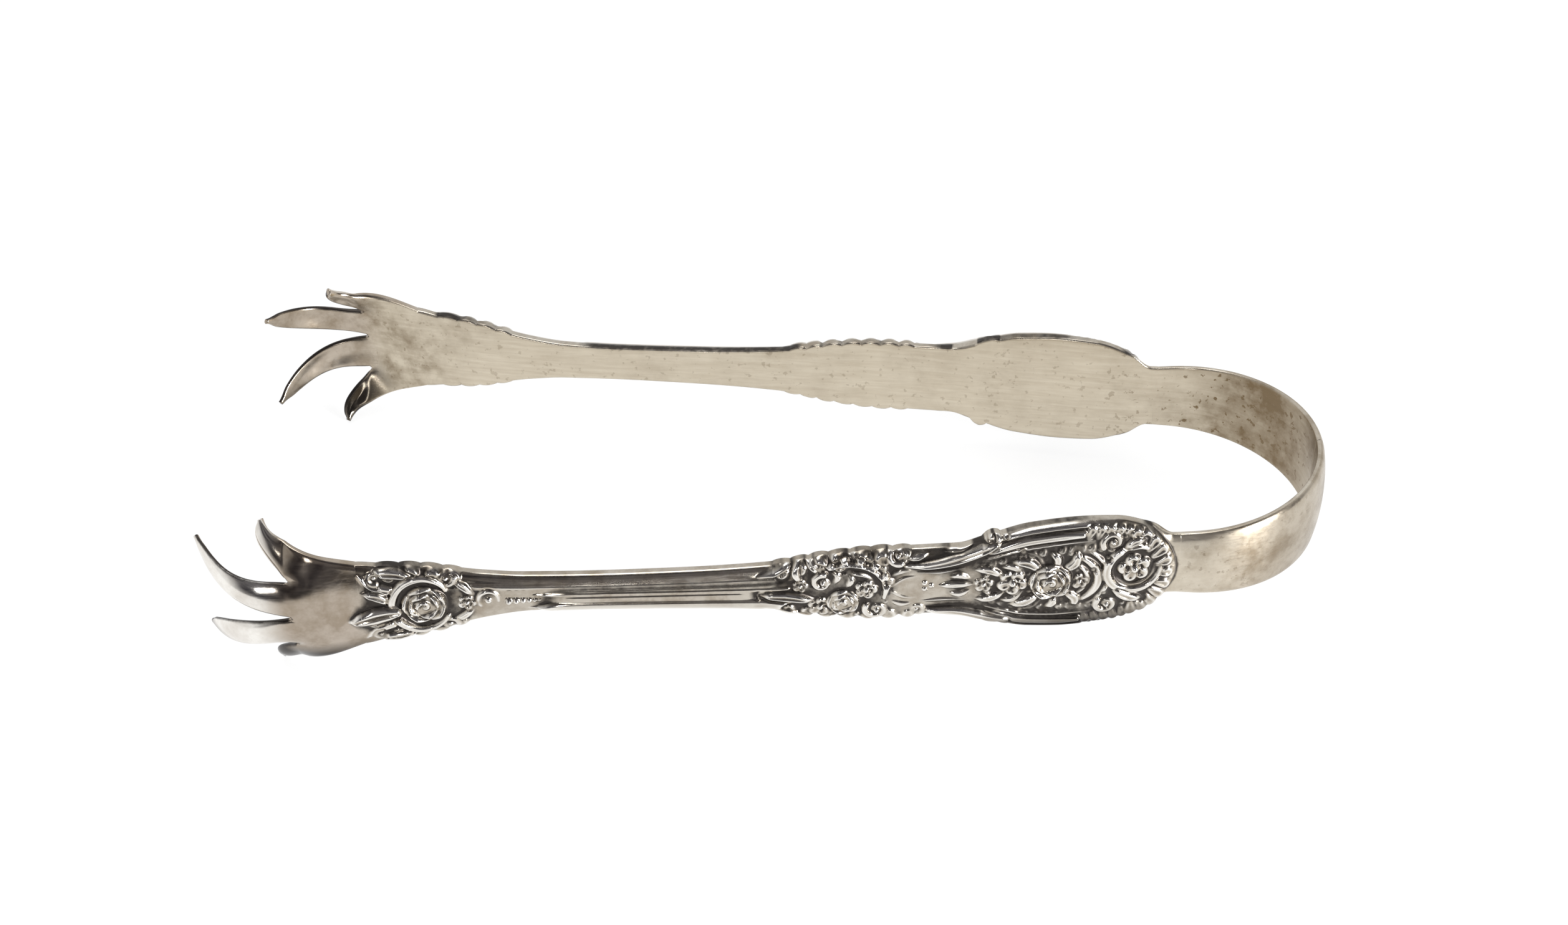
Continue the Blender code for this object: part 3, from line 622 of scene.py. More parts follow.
def strike_relief():
    """The whole relief on the die's grid, how dark the patina lies in it, and how worn it is."""
    die = Die()
    strike_stem(die)
    strike_lobes(die)
    strike_panel(die)
    strike_crest(die)
    strike_waist(die)
    strike_knop(die)
    strike_cuff(die)
    relief = RELIEF_SCALE * soften(die.heights, EDGE_SOFTNESS)
    hollow = soften(relief, RECESS_REACH) - relief
    low_ground = 1 - smooth_step(0.04, 0.34, relief)
    busy = smooth_step(0.05, 0.2, soften(relief, BUSY_REACH))
    patina = np.clip(0.8 * low_ground * busy + 1.1 * smooth_step(0.05, 0.22, hollow), 0, 1)
    worn = smooth_step(0.0, 0.16, -hollow)
    return die, relief, patina, worn


def read_grid(die, grid, places, levels):
    """Reads the die's grid between its points."""
    rows = np.clip((places - die.places[0]) / die.STEP, 0, len(die.places) - 1.001)
    columns = np.clip((levels - die.levels[0]) / die.STEP, 0, len(die.levels) - 1.001)
    i, j = rows.astype(int), columns.astype(int)
    a, b = rows - i, columns - j
    return (
        grid[i, j] * (1 - a) * (1 - b)
        + grid[i + 1, j] * a * (1 - b)
        + grid[i, j + 1] * (1 - a) * b
        + grid[i + 1, j + 1] * a * b
    )


EDGE_CROWDING = 0.27 * math.pi


def crowded_shares(count):
    """Shares from -1 to 1 that crowd towards both ends, where the edges turn."""
    return np.sin(np.linspace(-EDGE_CROWDING, EDGE_CROWDING, count)) / math.sin(EDGE_CROWDING)


STRIP_CROWN = 0.42


def strip_heights(shares):
    """A plain strip's crowned outer face, thinner at its edges."""
    return BOW_THICKNESS * (1 - STRIP_CROWN * shares**2)


# Soldered pieces run a little way into each other, with their last rings tucked in. The rings
# just before those hold the outer face level up to there.
SEAM_LAP = 0.3
TUCK = 0.93
TUCK_WIDTH = 0.99
ARM_HEM = 0.08
STRIP_HEMS = [0.1, 0.12]
CLAW_HEMS = [-0.12, -0.1]


def tuck_in(levels, heights, row, thickness):
    """Shrinks one ring, so that it ends inside the piece next to it."""
    levels[row] *= TUCK_WIDTH
    heights[row] = thickness / 2 + (heights[row] - thickness / 2) * TUCK


# How an outer face rounds over towards its edges
EDGE_ROUND = 0.95
EDGE_DROP = 0.72
STRIP_DROP = 0.4


def rounded_edge(from_edge, drop):
    """How far an outer face falls away near its edges."""
    bend = np.clip(1 - from_edge / EDGE_ROUND, 0, 1)
    return drop * (1 - np.sqrt(1 - 0.98 * bend**2))


# The rounded corners of an edge, as insets from the edge and shares of its thickness
CORNER_INSETS = np.array([0.02, 0.0, 0.0, 0.05, 0.18, 0.42])
CORNER_SHARES = np.array([0.86, 0.66, 0.34, 0.14, 0.03, 0.0])
FLAT_SHARES = np.array([0.66, 0.33, 0.0, -0.33, -0.66])
FLAT_INSET = 0.6

# How satin the finish is: on the strip's outer face, and then round the rest of a ring
STRIP_SATIN = 0.45
WALL_SATIN = np.array([0.0, 0.0, 0.0, 0.2, 0.8, 1.0])
CORNER_SATIN = np.concatenate([WALL_SATIN, np.ones(len(FLAT_SHARES)), WALL_SATIN[::-1]])


def close_rings(levels, heights, upper, lower):
    """Adds side walls and a flat inner face to rows of an outer face's levels and heights."""
    upper, lower = upper[:, None], lower[:, None]
    inner = FLAT_SHARES * np.where(FLAT_SHARES > 0, upper - FLAT_INSET, lower - FLAT_INSET)
    ring_levels = [levels, upper - CORNER_INSETS, inner, CORNER_INSETS[::-1] - lower]
    ring_heights = [
        heights,
        heights[:, [-1]] * CORNER_SHARES,
        np.zeros_like(inner),
        heights[:, [0]] * CORNER_SHARES[::-1],
    ]
    return np.concatenate(ring_levels, 1), np.concatenate(ring_heights, 1)


def arm_face(struck, places, shares, upper, lower):
    """The outer face of an arm in rows at its places: levels, heights, and how dark, worn and
    satin it is."""
    die, relief, patina, worn = struck
    half_widths = np.where(shares > 0, upper[:, None], lower[:, None])
    levels = shares * half_widths
    spread = np.broadcast_to(places[:, None], levels.shape)
    from_tip = TIP_PLACE + TIP_BEND * levels**2 - spread
    from_tip = from_tip / np.hypot(1.0, 2 * TIP_BEND * levels)
    plate = 1 - smooth_step(-0.3, -0.05, from_tip)
    cuff_end = smooth_step(ARM_LENGTH - 9.0, ARM_LENGTH, spread)

    ground = smooth_line(GROUND, places)[:, None]
    crown = EDGE_THICKNESS + (ground - EDGE_THICKNESS) * (1 - np.abs(shares) ** 2.2)
    base = strip_heights(shares) * (1 - plate) + (crown + TIP_STEP) * plate
    palm = PALM_THICKNESS + PALM_CROWN * (1 - shares**2) ** 1.5
    base = base * (1 - cuff_end) + palm * cuff_end
    edge_drop = STRIP_DROP + (EDGE_DROP - STRIP_DROP) * smooth_step(0.4, 3.0, spread)
    edge_drop += (RIM_DROP - EDGE_DROP) * cuff_end
    heights = base + read_grid(die, relief, spread, levels) * plate
    heights -= rounded_edge(half_widths * (1 - np.abs(shares)), edge_drop)

    dark = read_grid(die, patina, spread, levels) * plate
    # Painted shade: a dark line along the handle's rounded tip, where it stands a step over the
    # strip
    dark += 0.9 * np.exp(-(((from_tip + 0.02) / 0.22) ** 2))
    polished = read_grid(die, worn, spread, levels) * plate
    return levels, heights, np.clip(dark, 0, 1), polished, STRIP_SATIN * (1 - plate)


def add_rings(name, path, levels, heights, side, material, finish):
    """A piece that is lofted through rings along a path of feet and outward directions."""
    faces = loft_faces(*levels.shape)
    ends = (len(faces) - 2, len(faces) - 1)
    return add_piece(name, stand_up(*path, levels, heights, side), faces, ends, material, finish)


def make_arm(name, side, struck, material):
    """An arm: relief on its outer face, a flat inner face and rounded edges between them."""
    zones = [np.arange(*zone) for zone in FACE_ZONES]
    places = np.concatenate([[0.0, ARM_HEM], *zones, [ARM_LENGTH - ARM_HEM, ARM_LENGTH]])
    shares = crowded_shares(FACE_COLUMNS)
    upper, lower = outline(places, UPPER_LOBES), outline(places, LOWER_LOBES)
    levels, heights, dark, worn, satin = arm_face(struck, places, shares, upper, lower)
    levels, heights = close_rings(levels, heights, upper, lower)
    tuck_in(levels, heights, 0, BOW_THICKNESS)
    tuck_in(levels, heights, -1, PALM_THICKNESS)
    wall = 1 - WALL_SATIN
    inner = np.zeros((len(places), len(FLAT_SHARES)))
    finish = {
        "patina": np.concatenate([dark, dark[:, [-1]] * wall, inner, dark[:, [0]] * wall[::-1]], 1),
        "worn": np.pad(worn, ((0, 0), (0, len(CORNER_SATIN)))),
        "satin": np.concatenate([satin, np.tile(CORNER_SATIN, (len(places), 1))], 1),
    }
    return add_rings(name, arm_feet(places), levels, heights, side, material, finish)


# The bow strip


def make_bow_half(name, side, material):
    """Half of the bow strip, from the middle of the crown to the seam with an arm."""
    bend = bow_feet(np.linspace(0, math.pi / 2, STRIP_ROWS))
    limb = arm_feet(np.array([-LIMB_LENGTH / 2, *STRIP_HEMS, SEAM_LAP]))
    feet, outward = [np.concatenate(rows) for rows in zip(bend, limb)]
    along = (feet[:, 0] - SEAM_X) / (CROWN_X - SEAM_X)
    half_width = (LIMB_WIDTH + (CROWN_WIDTH - LIMB_WIDTH) * along) / 2
    shares = crowded_shares(STRIP_COLUMNS)
    levels = half_width[:, None] * shares
    from_edge = half_width[:, None] * (1 - np.abs(shares))
    heights = strip_heights(shares) - rounded_edge(from_edge, STRIP_DROP)
    levels, heights = close_rings(levels, heights, half_width, half_width)
    tuck_in(levels, heights, -1, BOW_THICKNESS)
    ring_satin = np.concatenate([np.full(len(shares), STRIP_SATIN), CORNER_SATIN])
    satin = np.tile(ring_satin, (len(feet), 1))
    finish = {"patina": np.zeros_like(satin), "worn": np.zeros_like(satin), "satin": satin}
    return add_rings(name, (feet, outward), levels, heights, side, material, finish)


# The claws

PALM_LENGTH = 8.0
PALM_WIDTH = 18.2
SEAM_WIDTH = 12.8
PALM_BULGE = 2.6
PALM_DISH = 3.4
PALM_CROWN = 1.1
LEAF_REACH = 3.6
RIM_SHARE = 0.8
RIM_DROP = 0.22

# Each half of the palm has a long talon near the middle and a short one at its edge
TALON_SPLAY = math.radians(6.0)
TALON_CROWN = 0.45
NOTCH_WIDTH = 0.7
LONG_WIDTH = 4.3
LONG_ROOT = (NOTCH_WIDTH / 2, NOTCH_WIDTH / 2 + LONG_WIDTH)
SHORT_ROOT = (LONG_ROOT[1] + NOTCH_WIDTH, PALM_WIDTH / 2)
LONG_TIP = np.array([11.8, -6.4, 4.5])
SHORT_TIP = np.array([3.0, -3.1, 3.8])
LONG_CURL = 2.8
SHORT_CURL = 1.5
LONG_WIDTHS = [(0.0, 1.0), (0.25, 0.94), (0.5, 0.86), (0.75, 0.68), (0.9, 0.46), (1.0, 0.14)]
SHORT_WIDTHS = [(0.0, 1.0), (0.25, 0.82), (0.5, 0.6), (0.75, 0.4), (0.9, 0.26), (1.0, 0.12)]
TIP_WIDTH = 0.36
TIP_THICKNESS = 0.6

# How many columns of points a talon has, how many rows, and how they crowd towards its root
LONG_COLUMNS = 45
SHORT_COLUMNS = 37
LONG_ROWS = 48
SHORT_ROWS = 30
ROW_CROWDING = 1.25


def palm_points(forward, column):
    """The middle of the palm's sheet: forwards along the arm, outwards, and up."""
    share = forward / PALM_LENGTH
    width = SEAM_WIDTH + (PALM_WIDTH - SEAM_WIDTH) * share
    swell = (
        PALM_LENGTH * math.tan(CLAW_SPLAY) * share * (1 - share) ** 2
        + PALM_BULGE * share**2 * (3 - 2 * share)
        - PALM_LENGTH * math.tan(TALON_SPLAY) * share**2 * (1 - share)
    )
    across = column / (PALM_WIDTH / 2)
    return np.stack(
        [forward, swell - PALM_DISH * (across * share) ** 2, across * width / 2], -1
    )


def unit(vectors):
    return vectors / np.linalg.norm(vectors, axis=-1, keepdims=True)


def talon_rows(root, tip, curl, widths, hold, columns, rows):
    """Rows of points from a talon's root on the palm's front edge to its tip.

    Every column leaves the palm in the palm's own direction and arrives along the tip's. A row
    is widened about its point at the index hold, and turns square to the talon.
    """
    front = np.full(len(columns), PALM_LENGTH)
    base = palm_points(front, columns)
    leave = (base - palm_points(front * 0.98, columns)) / (0.02 * PALM_LENGTH) * tip[0]
    middle = palm_points(np.array(PALM_LENGTH), np.array(sum(root) / 2))
    ahead = leave[len(columns) // 2]
    arrive = ahead + (tip - ahead) * curl
    shares = (columns - sum(root) / 2) / ((root[1] - root[0]) / 2)
    root_width = np.linalg.norm(base[-1] - base[0])
    across = unit(base[-1] - base[0])
    across = unit(across - unit(arrive) * (across @ unit(arrive)))
    goal = middle + tip + np.outer(shares * TIP_WIDTH / 2, across)
    out = []
    for t in 1 - (1 - np.linspace(0, 1, rows + 1)[1:]) ** ROW_CROWDING:
        row = hermite(t, base, goal, leave, arrive)
        along = unit(ahead * (1 - t) + arrive * t)
        wide = float(smooth_line(widths, t)) * root_width
        square = unit(across - along * (across @ along))
        held = row[hold]
        row = held + (row - held) * wide / np.linalg.norm(row[-1] - row[0])
        square = held + np.outer((shares - shares[hold]) * wide / 2, square)
        turned = float(smooth_step(0.0, 1.0, t))
        row = row * (1 - turned) + square * turned
        run = unit(row[-1] - row[0])
        outward = unit(np.cross(along, run))
        outward *= np.sign(outward[1])
        crown = TALON_CROWN * 16 * t**2 * (1 - t) ** 2
        out.append(row + np.outer(crown * (1 - shares**2), outward))
    return out


def palm_crown(points):
    """How much the palm's outer face swells over its sheet. It dies away along the talons."""
    width = SEAM_WIDTH + (PALM_WIDTH - SEAM_WIDTH) * np.clip(points[:, 0] / PALM_LENGTH, 0, 1)
    across = np.clip(np.abs(points[:, 2]) / (width / 2), 0, 1)
    fade = 1 - smooth_step(0, PALM_LENGTH + 3.0, points[:, 0])
    return PALM_CROWN * (1 - across**2) ** 1.5 * fade


def near_rim(places, root):
    """How near columns are to a talon's rims: 1 there, and 0 in its middle."""
    shares = np.abs(places - sum(root) / 2) / ((root[1] - root[0]) / 2)
    return np.clip((shares - 1 + RIM_SHARE) / RIM_SHARE, 0, 1)


def claw_sheet():
    """The sheet that makes the palm and its four talons: its points, its quads, the points at
    the seam, how near each point is to a rim, and how near to a gap between talons."""
    long_columns = np.mean(LONG_ROOT) + crowded_shares(LONG_COLUMNS) * LONG_WIDTH / 2
    short_width = SHORT_ROOT[1] - SHORT_ROOT[0]
    short_columns = np.mean(SHORT_ROOT) + crowded_shares(SHORT_COLUMNS) * short_width / 2
    notch = (LONG_ROOT[1] + SHORT_ROOT[0]) / 2
    half = np.concatenate([long_columns, [notch], short_columns])
    columns = np.concatenate([-half[::-1], [0.0], half])
    notches = np.isin(columns, [-notch, 0.0, notch])
    points, faces, rims, gaps = [], [], [], []

    def add_row(row, rim, gap):
        start = len(points)
        points.extend(row)
        rims.extend(rim)
        gaps.extend(gap)
        return list(range(start, start + len(row)))

    def join(rows):
        for first, second in zip(rows, rows[1:]):
            for i in range(len(first) - 1):
                faces.append((first[i], first[i + 1], second[i + 1], second[i]))

    palm = []
    across = np.abs(columns)
    sides = np.clip(1 - (PALM_WIDTH / 2 - across) / EDGE_ROUND, 0, 1)
    in_long = across < notch
    talon_rims = np.where(in_long, near_rim(across, LONG_ROOT), near_rim(across, SHORT_ROOT))
    talon_rims[notches] = 1.0
    leafy = np.arange(0.1, LEAF_REACH, 0.125)
    plain = np.linspace(LEAF_REACH, PALM_LENGTH, 25)
    for forward in [-SEAM_LAP, *CLAW_HEMS, *leafy, *plain]:
        held_back = 0.5 * NOTCH_WIDTH * (forward / PALM_LENGTH) ** 8
        flow = float(smooth_step(0.55, 1.0, forward / PALM_LENGTH))
        rim = np.maximum(sides, talon_rims * flow)
        gap = notches * float(forward == PALM_LENGTH)
        palm.append(add_row(palm_points(forward - held_back * notches, columns), rim, gap))
    join(palm)
    front = {round(column, 6): i for column, i in zip(columns, palm[-1])}
    talons = (
        (LONG_ROOT, LONG_TIP, LONG_CURL, LONG_WIDTHS, LONG_COLUMNS // 2, long_columns, LONG_ROWS),
        (SHORT_ROOT, SHORT_TIP, SHORT_CURL, SHORT_WIDTHS, -1, short_columns, SHORT_ROWS),
    )
    for root, tip, curl, widths, hold, places, row_count in talons:
        shape = talon_rows(root, tip, curl, widths, hold, places, row_count)
        for hand in (-1, 1):
            rows = [[front[round(hand * c, 6)] for c in places]]
            rim = near_rim(places, root)
            gap = rim * ((places < sum(root) / 2) | (root is LONG_ROOT))
            rows += [add_row(row * np.array([1, 1, hand]), rim, gap) for row in shape]
            join(rows if hand > 0 else [row[::-1] for row in rows])
    return np.array(points), faces, palm[0], np.array(rims), np.array(gaps)


def sheet_normals(points, quads, seam_normal):
    """Directions square to the sheet, outwards. At the seam they are the arm's."""
    corners = points[quads]
    cross = np.cross(corners[:, 2] - corners[:, 0], corners[:, 3] - corners[:, 1])
    normals = np.zeros_like(points)
    for corner in range(4):
        np.add.at(normals, quads[:, corner], cross)
    normals = unit(normals) * np.sign(cross[0, 1])
    leaving = smooth_step(0.0, LEAF_REACH, points[:, 0])[:, None]
    return unit(seam_normal * (1 - leaving) + normals * leaving)


def rim_edges(faces):
    """The edges that only one quad has, each with that quad's number."""
    edges = {}
    for number, quad in enumerate(faces):
        for first, second in zip(quad, quad[1:] + quad[:1]):
            edges[(first, second)] = number
    return {edge: number for edge, number in edges.items() if edge[::-1] not in edges}


def rim_directions(points, quads, normals, rim, seam):
    """Directions along the sheet and away from it at its rims. They are 0 elsewhere."""
    push = np.zeros_like(points)
    for (first, second), number in rim.items():
        if first in seam and second in seam:
            continue
        out = np.cross(points[second] - points[first], normals[first] + normals[second])
        out *= np.sign(out @ (points[first] - points[quads[number]].mean(0)))
        push[[first, second]] += unit(out)
    size = np.linalg.norm(push, axis=1, keepdims=True)
    return np.where(size > 0.1, push / np.maximum(size, 1e-6), 0.0)


def shell_faces(layers, faces, rim, seam):
    """Quads over the first and the last layer and round the rim, and which lie in the seam."""
    count = len(layers[0])
    last = (len(layers) - 1) * count
    shell = [*faces, *(tuple(i + last for i in reversed(quad)) for quad in faces)]
    flat = []
    for first, second in rim:
        for here in range(0, last, count):
            there = here + count
            if first in seam and second in seam:
                flat.append(len(shell))
            shell.append((second + here, first + here, first + there, second + there))
    return shell, flat


def make_claw(name, side, struck, material):
    """A claw: the sheet thickened to both sides, with rounded rims. The cuff's leaves reach
    over its outer face."""
    points, faces, seam_row, rim_share, gap_side = claw_sheet()
    quads = np.array(faces)
    seam = set(seam_row)
    rim = rim_edges(faces)
    foot, outward = [rows[0] for rows in arm_feet(np.array([ARM_LENGTH]))]
    normals = sheet_normals(points, quads, np.array([-outward[0], outward[1], 0.0]))
    push = rim_directions(points, quads, normals, rim, seam)

    die, relief, patina, worn = struck
    forward = points[:, 0]
    tuck = np.where(forward < (CLAW_HEMS[0] - SEAM_LAP) / 2, TUCK, 1.0)[:, None]
    thin = np.clip((forward - PALM_LENGTH) / LONG_TIP[0], 0, 1) ** 2
    half = (PALM_THICKNESS + (TIP_THICKNESS - PALM_THICKNESS) * thin)[:, None] / 2
    talon = smooth_step(PALM_LENGTH - 2.0, PALM_LENGTH + 1.0, forward)[:, None]
    bend = 1 - np.sqrt(1 - 0.96 * rim_share[:, None] ** 2)
    raised = read_grid(die, relief, ARM_LENGTH + forward, points[:, 2]) + palm_crown(points)
    raised = raised[:, None] * tuck
    outer = half * (1 - (0.45 + 0.2 * talon) * bend) * tuck
    inner = -half * (1 - 0.65 * talon * bend) * tuck
    inner = inner * np.where(push.any(1, keepdims=True), 0.88, 1.0)
    walls = [points + push * 0.1 * half + normals * level for level in (outer * 0.6, inner * 0.6)]
    layers = [points + normals * (outer + raised), *walls, points + normals * inner]
    shell, flat = shell_faces(layers, faces, rim, seam)
    used, index = np.unique(np.array(shell), return_inverse=True)

    dark = read_grid(die, patina, ARM_LENGTH + forward, points[:, 2])
    # Painted shade in the gaps between the talons: on the outer face beside them, on their walls
    # and on the inner face. It goes into the patina attribute.
    dark = np.maximum(dark, 0.7 * smooth_step(0.75, 1.0, gap_side))
    gap_wall_shade = smooth_step(0.8, 1.0, gap_side)
    inner_gap_shade = 0.5 * smooth_step(0.85, 1.0, gap_side)
    polished = read_grid(die, worn, ARM_LENGTH + layers[0][:, 0], layers[0][:, 2])
    polished = np.maximum(polished, smooth_step(PALM_LENGTH, PALM_LENGTH + 4.0, layers[0][:, 0]))
    inside = 1.0 - 0.8 * smooth_step(PALM_LENGTH - 4.0, PALM_LENGTH + 2.0, layers[-1][:, 0])
    none = np.zeros(len(points))
    finish = {
        "patina": np.concatenate([dark, gap_wall_shade, gap_wall_shade, inner_gap_shade])[used],
        "worn": np.concatenate([polished, none, none, none])[used],
        "satin": np.concatenate([none, none, none, inside])[used],
    }

    seam_x, seam_y = foot + outward * PALM_THICKNESS / 2
    along, out, up = np.concatenate(layers)[used].T
    placed = np.stack([seam_x - along, side * (seam_y + out), MIDDLE_Z - side * up], -1)
    piece = add_piece(name, placed, index.reshape(-1, 4).tolist(), flat, material, finish)
    turn_outward(piece)
    return piece


def turn_outward(piece):
    """Makes all of a closed mesh's faces look outwards."""
    shape = bmesh.new()
    shape.from_mesh(piece.data)
    bmesh.ops.recalc_face_normals(shape, faces=shape.faces)
    shape.to_mesh(piece.data)
    shape.free()


# Materials


class Nodes:
    """Short calls for building a material's nodes."""

    def __init__(self, owner):
        self.tree = owner.node_tree

    def fill(self, node, inputs):
        """Sets inputs of a node. Each gets a socket, a number or a colour."""
        for key, value in inputs.items():
            socket = node.inputs[key]
            if isinstance(value, bpy.types.NodeSocket):
                self.tree.links.new(value, socket)
            elif socket.type == "RGBA":
                socket.default_value = (*value, 1.0)
            else:
                socket.default_value = value

    def add(self, kind, inputs, **settings):
        node = self.tree.nodes.new(kind)
        for key, value in settings.items():
            setattr(node, key, value)
        self.fill(node, inputs)
        return node

    def attribute(self, name):
        return self.add("ShaderNodeAttribute", {}, attribute_name=name).outputs["Fac"]

    def noise(self, vector, scale, detail, roughness=0.55, stretch=(1.0, 1.0, 1.0)):
        mapped = self.add("ShaderNodeMapping", {"Vector": vector, "Scale": stretch})
        vector = mapped.outputs["Vector"]
        inputs = {"Vector": vector, "Scale": scale, "Detail": detail, "Roughness": roughness}
        return self.add("ShaderNodeTexNoise", inputs).outputs["Fac"]

    def span(self, value, low, high, start, end):
        """Maps a value from one range to another, held at its ends."""
        inputs = {"Value": value, "From Min": low, "From Max": high, "To Min": start, "To Max": end}
        return self.add("ShaderNodeMapRange", inputs).outputs["Result"]

    def mix(self, share, first, second):
        """Mixes two colours. Each is a socket or a colour."""
        inputs = {"Factor": share, 6: first, 7: second}
        return self.add("ShaderNodeMix", inputs, data_type="RGBA").outputs[2]

    def math(self, operation, values):
        """Takes in values one after another."""
        total = values[0]
        for value in values[1:]:
            inputs = {0: total, 1: value}
            total = self.add("ShaderNodeMath", inputs, operation=operation).outputs["Value"]
        return total

    def sum(self, *values):
        return self.math("ADD", values)

    def product(self, *values):
        return self.math("MULTIPLY", values)


def new_material(name):
    """An empty material, its nodes and its main shader."""
    material = bpy.data.materials.new(name)
    material.use_nodes = True
    return material, Nodes(material), material.node_tree.nodes["Principled BSDF"]


BRIGHT_SILVER = (0.86, 0.835, 0.79)
BOW_FILM = (0.6, 0.55, 0.47)
ARM_FILM = (0.55, 0.51, 0.445)
CLAW_FILM = (0.47, 0.41, 0.345)
SATIN_SILVER = (0.68, 0.61, 0.49)
DULL_SILVER = (0.52, 0.445, 0.335)
BROWN_TARNISH = (0.2, 0.145, 0.085)
# Black for the patina in recesses, and for painted shade near the floor, along the handle's tip and
# in the gaps between the talons
BLACK_PATINA_AND_SHADE = (0.03, 0.026, 0.025)

# Fine brush marks spread a highlight this far, and upwards
BRUSHED_SHARE = 0.6
BRUSHED_WAY = (0.1, 0.05, 1.0)


def silver_marks(nodes):
    """What the colours and the roughness of silver depend on: noises, the finish that the mesh
    holds, and where a point is."""
    where = nodes.add("ShaderNodeTexCoord", {}).outputs["Object"]
    parts = nodes.add("ShaderNodeSeparateXYZ", {"Vector": where})
    cuff_x = SEAM_X - ARM_LENGTH

    def grows(start, end, least=0.0, most=1.0):
        return nodes.span(parts.outputs["X"], start * MM, end * MM, least, most)

    return SimpleNamespace(
        satin=nodes.attribute("satin"),
        worn=nodes.attribute("worn"),
        patina=nodes.attribute("patina"),
        clouds=nodes.noise(where, 110.0, 5.0),
        blotches=nodes.noise(where, 330.0, 5.0, 0.65),
        specks=nodes.noise(where, 1100.0, 3.0),
        brushed=nodes.noise(where, 160.0, 6.0, 0.7, (1.0, 1.0, 14.0)),
        scratches=nodes.noise(where, 420.0, 6.0, 0.7, (1.0, 6.0, 9.0)),
        on_bow=grows(SEAM_X - 3.0, SEAM_X - 1.0),
        in_bow=grows(SEAM_X + 2.0, SEAM_X + 14.0, 0.0, 0.56),
        tarnish=grows(SEAM_X - 8.0, SEAM_X + 9.0, 0.35, 1.0),
        on_claw=grows(cuff_x + 2.0, cuff_x - 1.0),
        near_claw=grows(cuff_x + 12.0, cuff_x - 4.0),
        # Painted shade: outer faces within a few millimetres of the floor are painted dark,
        # standing in for the shaded floor that they mirror
        low_painted_shade=nodes.span(parts.outputs["Z"], 4.0 * MM, 6.5 * MM, 0.95, 0.0),
    )


def outer_colour(nodes, marks):
    """A warm film over outer faces, rubbed bright on high points, and painted black low down as
    shade near the floor.
    """
    film = nodes.mix(marks.on_bow, nodes.mix(marks.on_claw, ARM_FILM, CLAW_FILM), BOW_FILM)
    film = nodes.mix(nodes.span(marks.clouds, 0.38, 0.68, 0.0, 0.4), film, BROWN_TARNISH)
    film = nodes.mix(nodes.span(marks.blotches, 0.42, 0.66, 0.0, 0.5), film, BROWN_TARNISH)
    # Painted shade near the floor: the film turns black there, and is not rubbed bright
    film = nodes.mix(marks.low_painted_shade, film, BLACK_PATINA_AND_SHADE)
    rubbed = nodes.product(
        marks.worn,
        nodes.span(marks.blotches, 0.35, 0.65, 0.6, 1.0),
        nodes.span(marks.low_painted_shade, 0.0, 0.5, 1.0, 0.0),
    )
    return nodes.mix(rubbed, film, BRIGHT_SILVER)


def inner_colour(nodes, marks):
    """Dull satin on inner faces, brown in patches inside the bow and the claws, and pitted."""
    dull = nodes.mix(nodes.span(marks.brushed, 0.38, 0.64, 0.0, 0.4), SATIN_SILVER, DULL_SILVER)
    bow_patches = nodes.product(
        nodes.span(marks.clouds, 0.36, 0.7, 0.1, 0.9),
        marks.tarnish,
        nodes.span(marks.blotches, 0.32, 0.7, 0.15, 1.0),
    )
    claw_patches = nodes.product(
        marks.near_claw,
        nodes.span(marks.blotches, 0.35, 0.62, 0.1, 0.9),
        nodes.span(marks.clouds, 0.4, 0.6, 0.2, 0.8),
    )
    pits = nodes.product(nodes.span(marks.specks, 0.62, 0.67, 0.0, 0.8), marks.tarnish)
    brown = nodes.sum(bow_patches, claw_patches, marks.in_bow, pits)
    return nodes.mix(brown, dull, BROWN_TARNISH)


def silver_roughness(nodes, marks):
    smooth = nodes.sum(0.15, nodes.span(marks.on_bow, 0.0, 1.0, 0.0, 0.11))
    bright = nodes.product(smooth, nodes.span(marks.scratches, 0.35, 0.68, 0.75, 1.3))
    outer = nodes.product(bright, nodes.span(marks.satin, 0.0, 1.0, 1.0, 0.0))
    inner = nodes.product(nodes.span(marks.brushed, 0.35, 0.68, 0.3, 0.42), marks.satin)
    return nodes.sum(outer, inner)


def silver(name):
    """Old silver beneath a thin warm film, with dark patina in the relief's recesses.

    The attribute satin is 1 on inner faces, patina is 1 in recesses and also holds painted shade
    along the handle's tip and in the gaps between the talons, and worn is 1 on high points.
    The film changes along the tongs, and tarnish grows towards the bow.
    """
    material, nodes, shader = new_material(name)
    shader.inputs["Metallic"].default_value = 1.0
    shader.inputs["Anisotropic"].default_value = BRUSHED_SHARE
    upright = nodes.add("ShaderNodeCombineXYZ", dict(zip("XYZ", BRUSHED_WAY)))
    marks = silver_marks(nodes)
    broken = nodes.sum(marks.patina, nodes.span(marks.specks, 0.3, 0.7, -0.13, 0.13))
    dark = nodes.span(broken, 0.15, 0.8, 0.0, 0.94)
    colour = nodes.mix(marks.satin, outer_colour(nodes, marks), inner_colour(nodes, marks))
    grain = nodes.sum(marks.clouds, marks.blotches, nodes.product(marks.scratches, 0.25))
    bump = nodes.add("ShaderNodeBump", {"Strength": 0.3, "Distance": 0.03 * MM, "Height": grain})
    dusty = nodes.span(dark, 0.0, 1.0, 0.0, 0.22)
    nodes.fill(shader, {
        "Base Color": nodes.mix(dark, colour, BLACK_PATINA_AND_SHADE),
        "Roughness": nodes.sum(silver_roughness(nodes, marks), dusty),
        "Normal": bump.outputs["Normal"],
        "Tangent": upright.outputs["Vector"],
    })
    return material


# The pieces


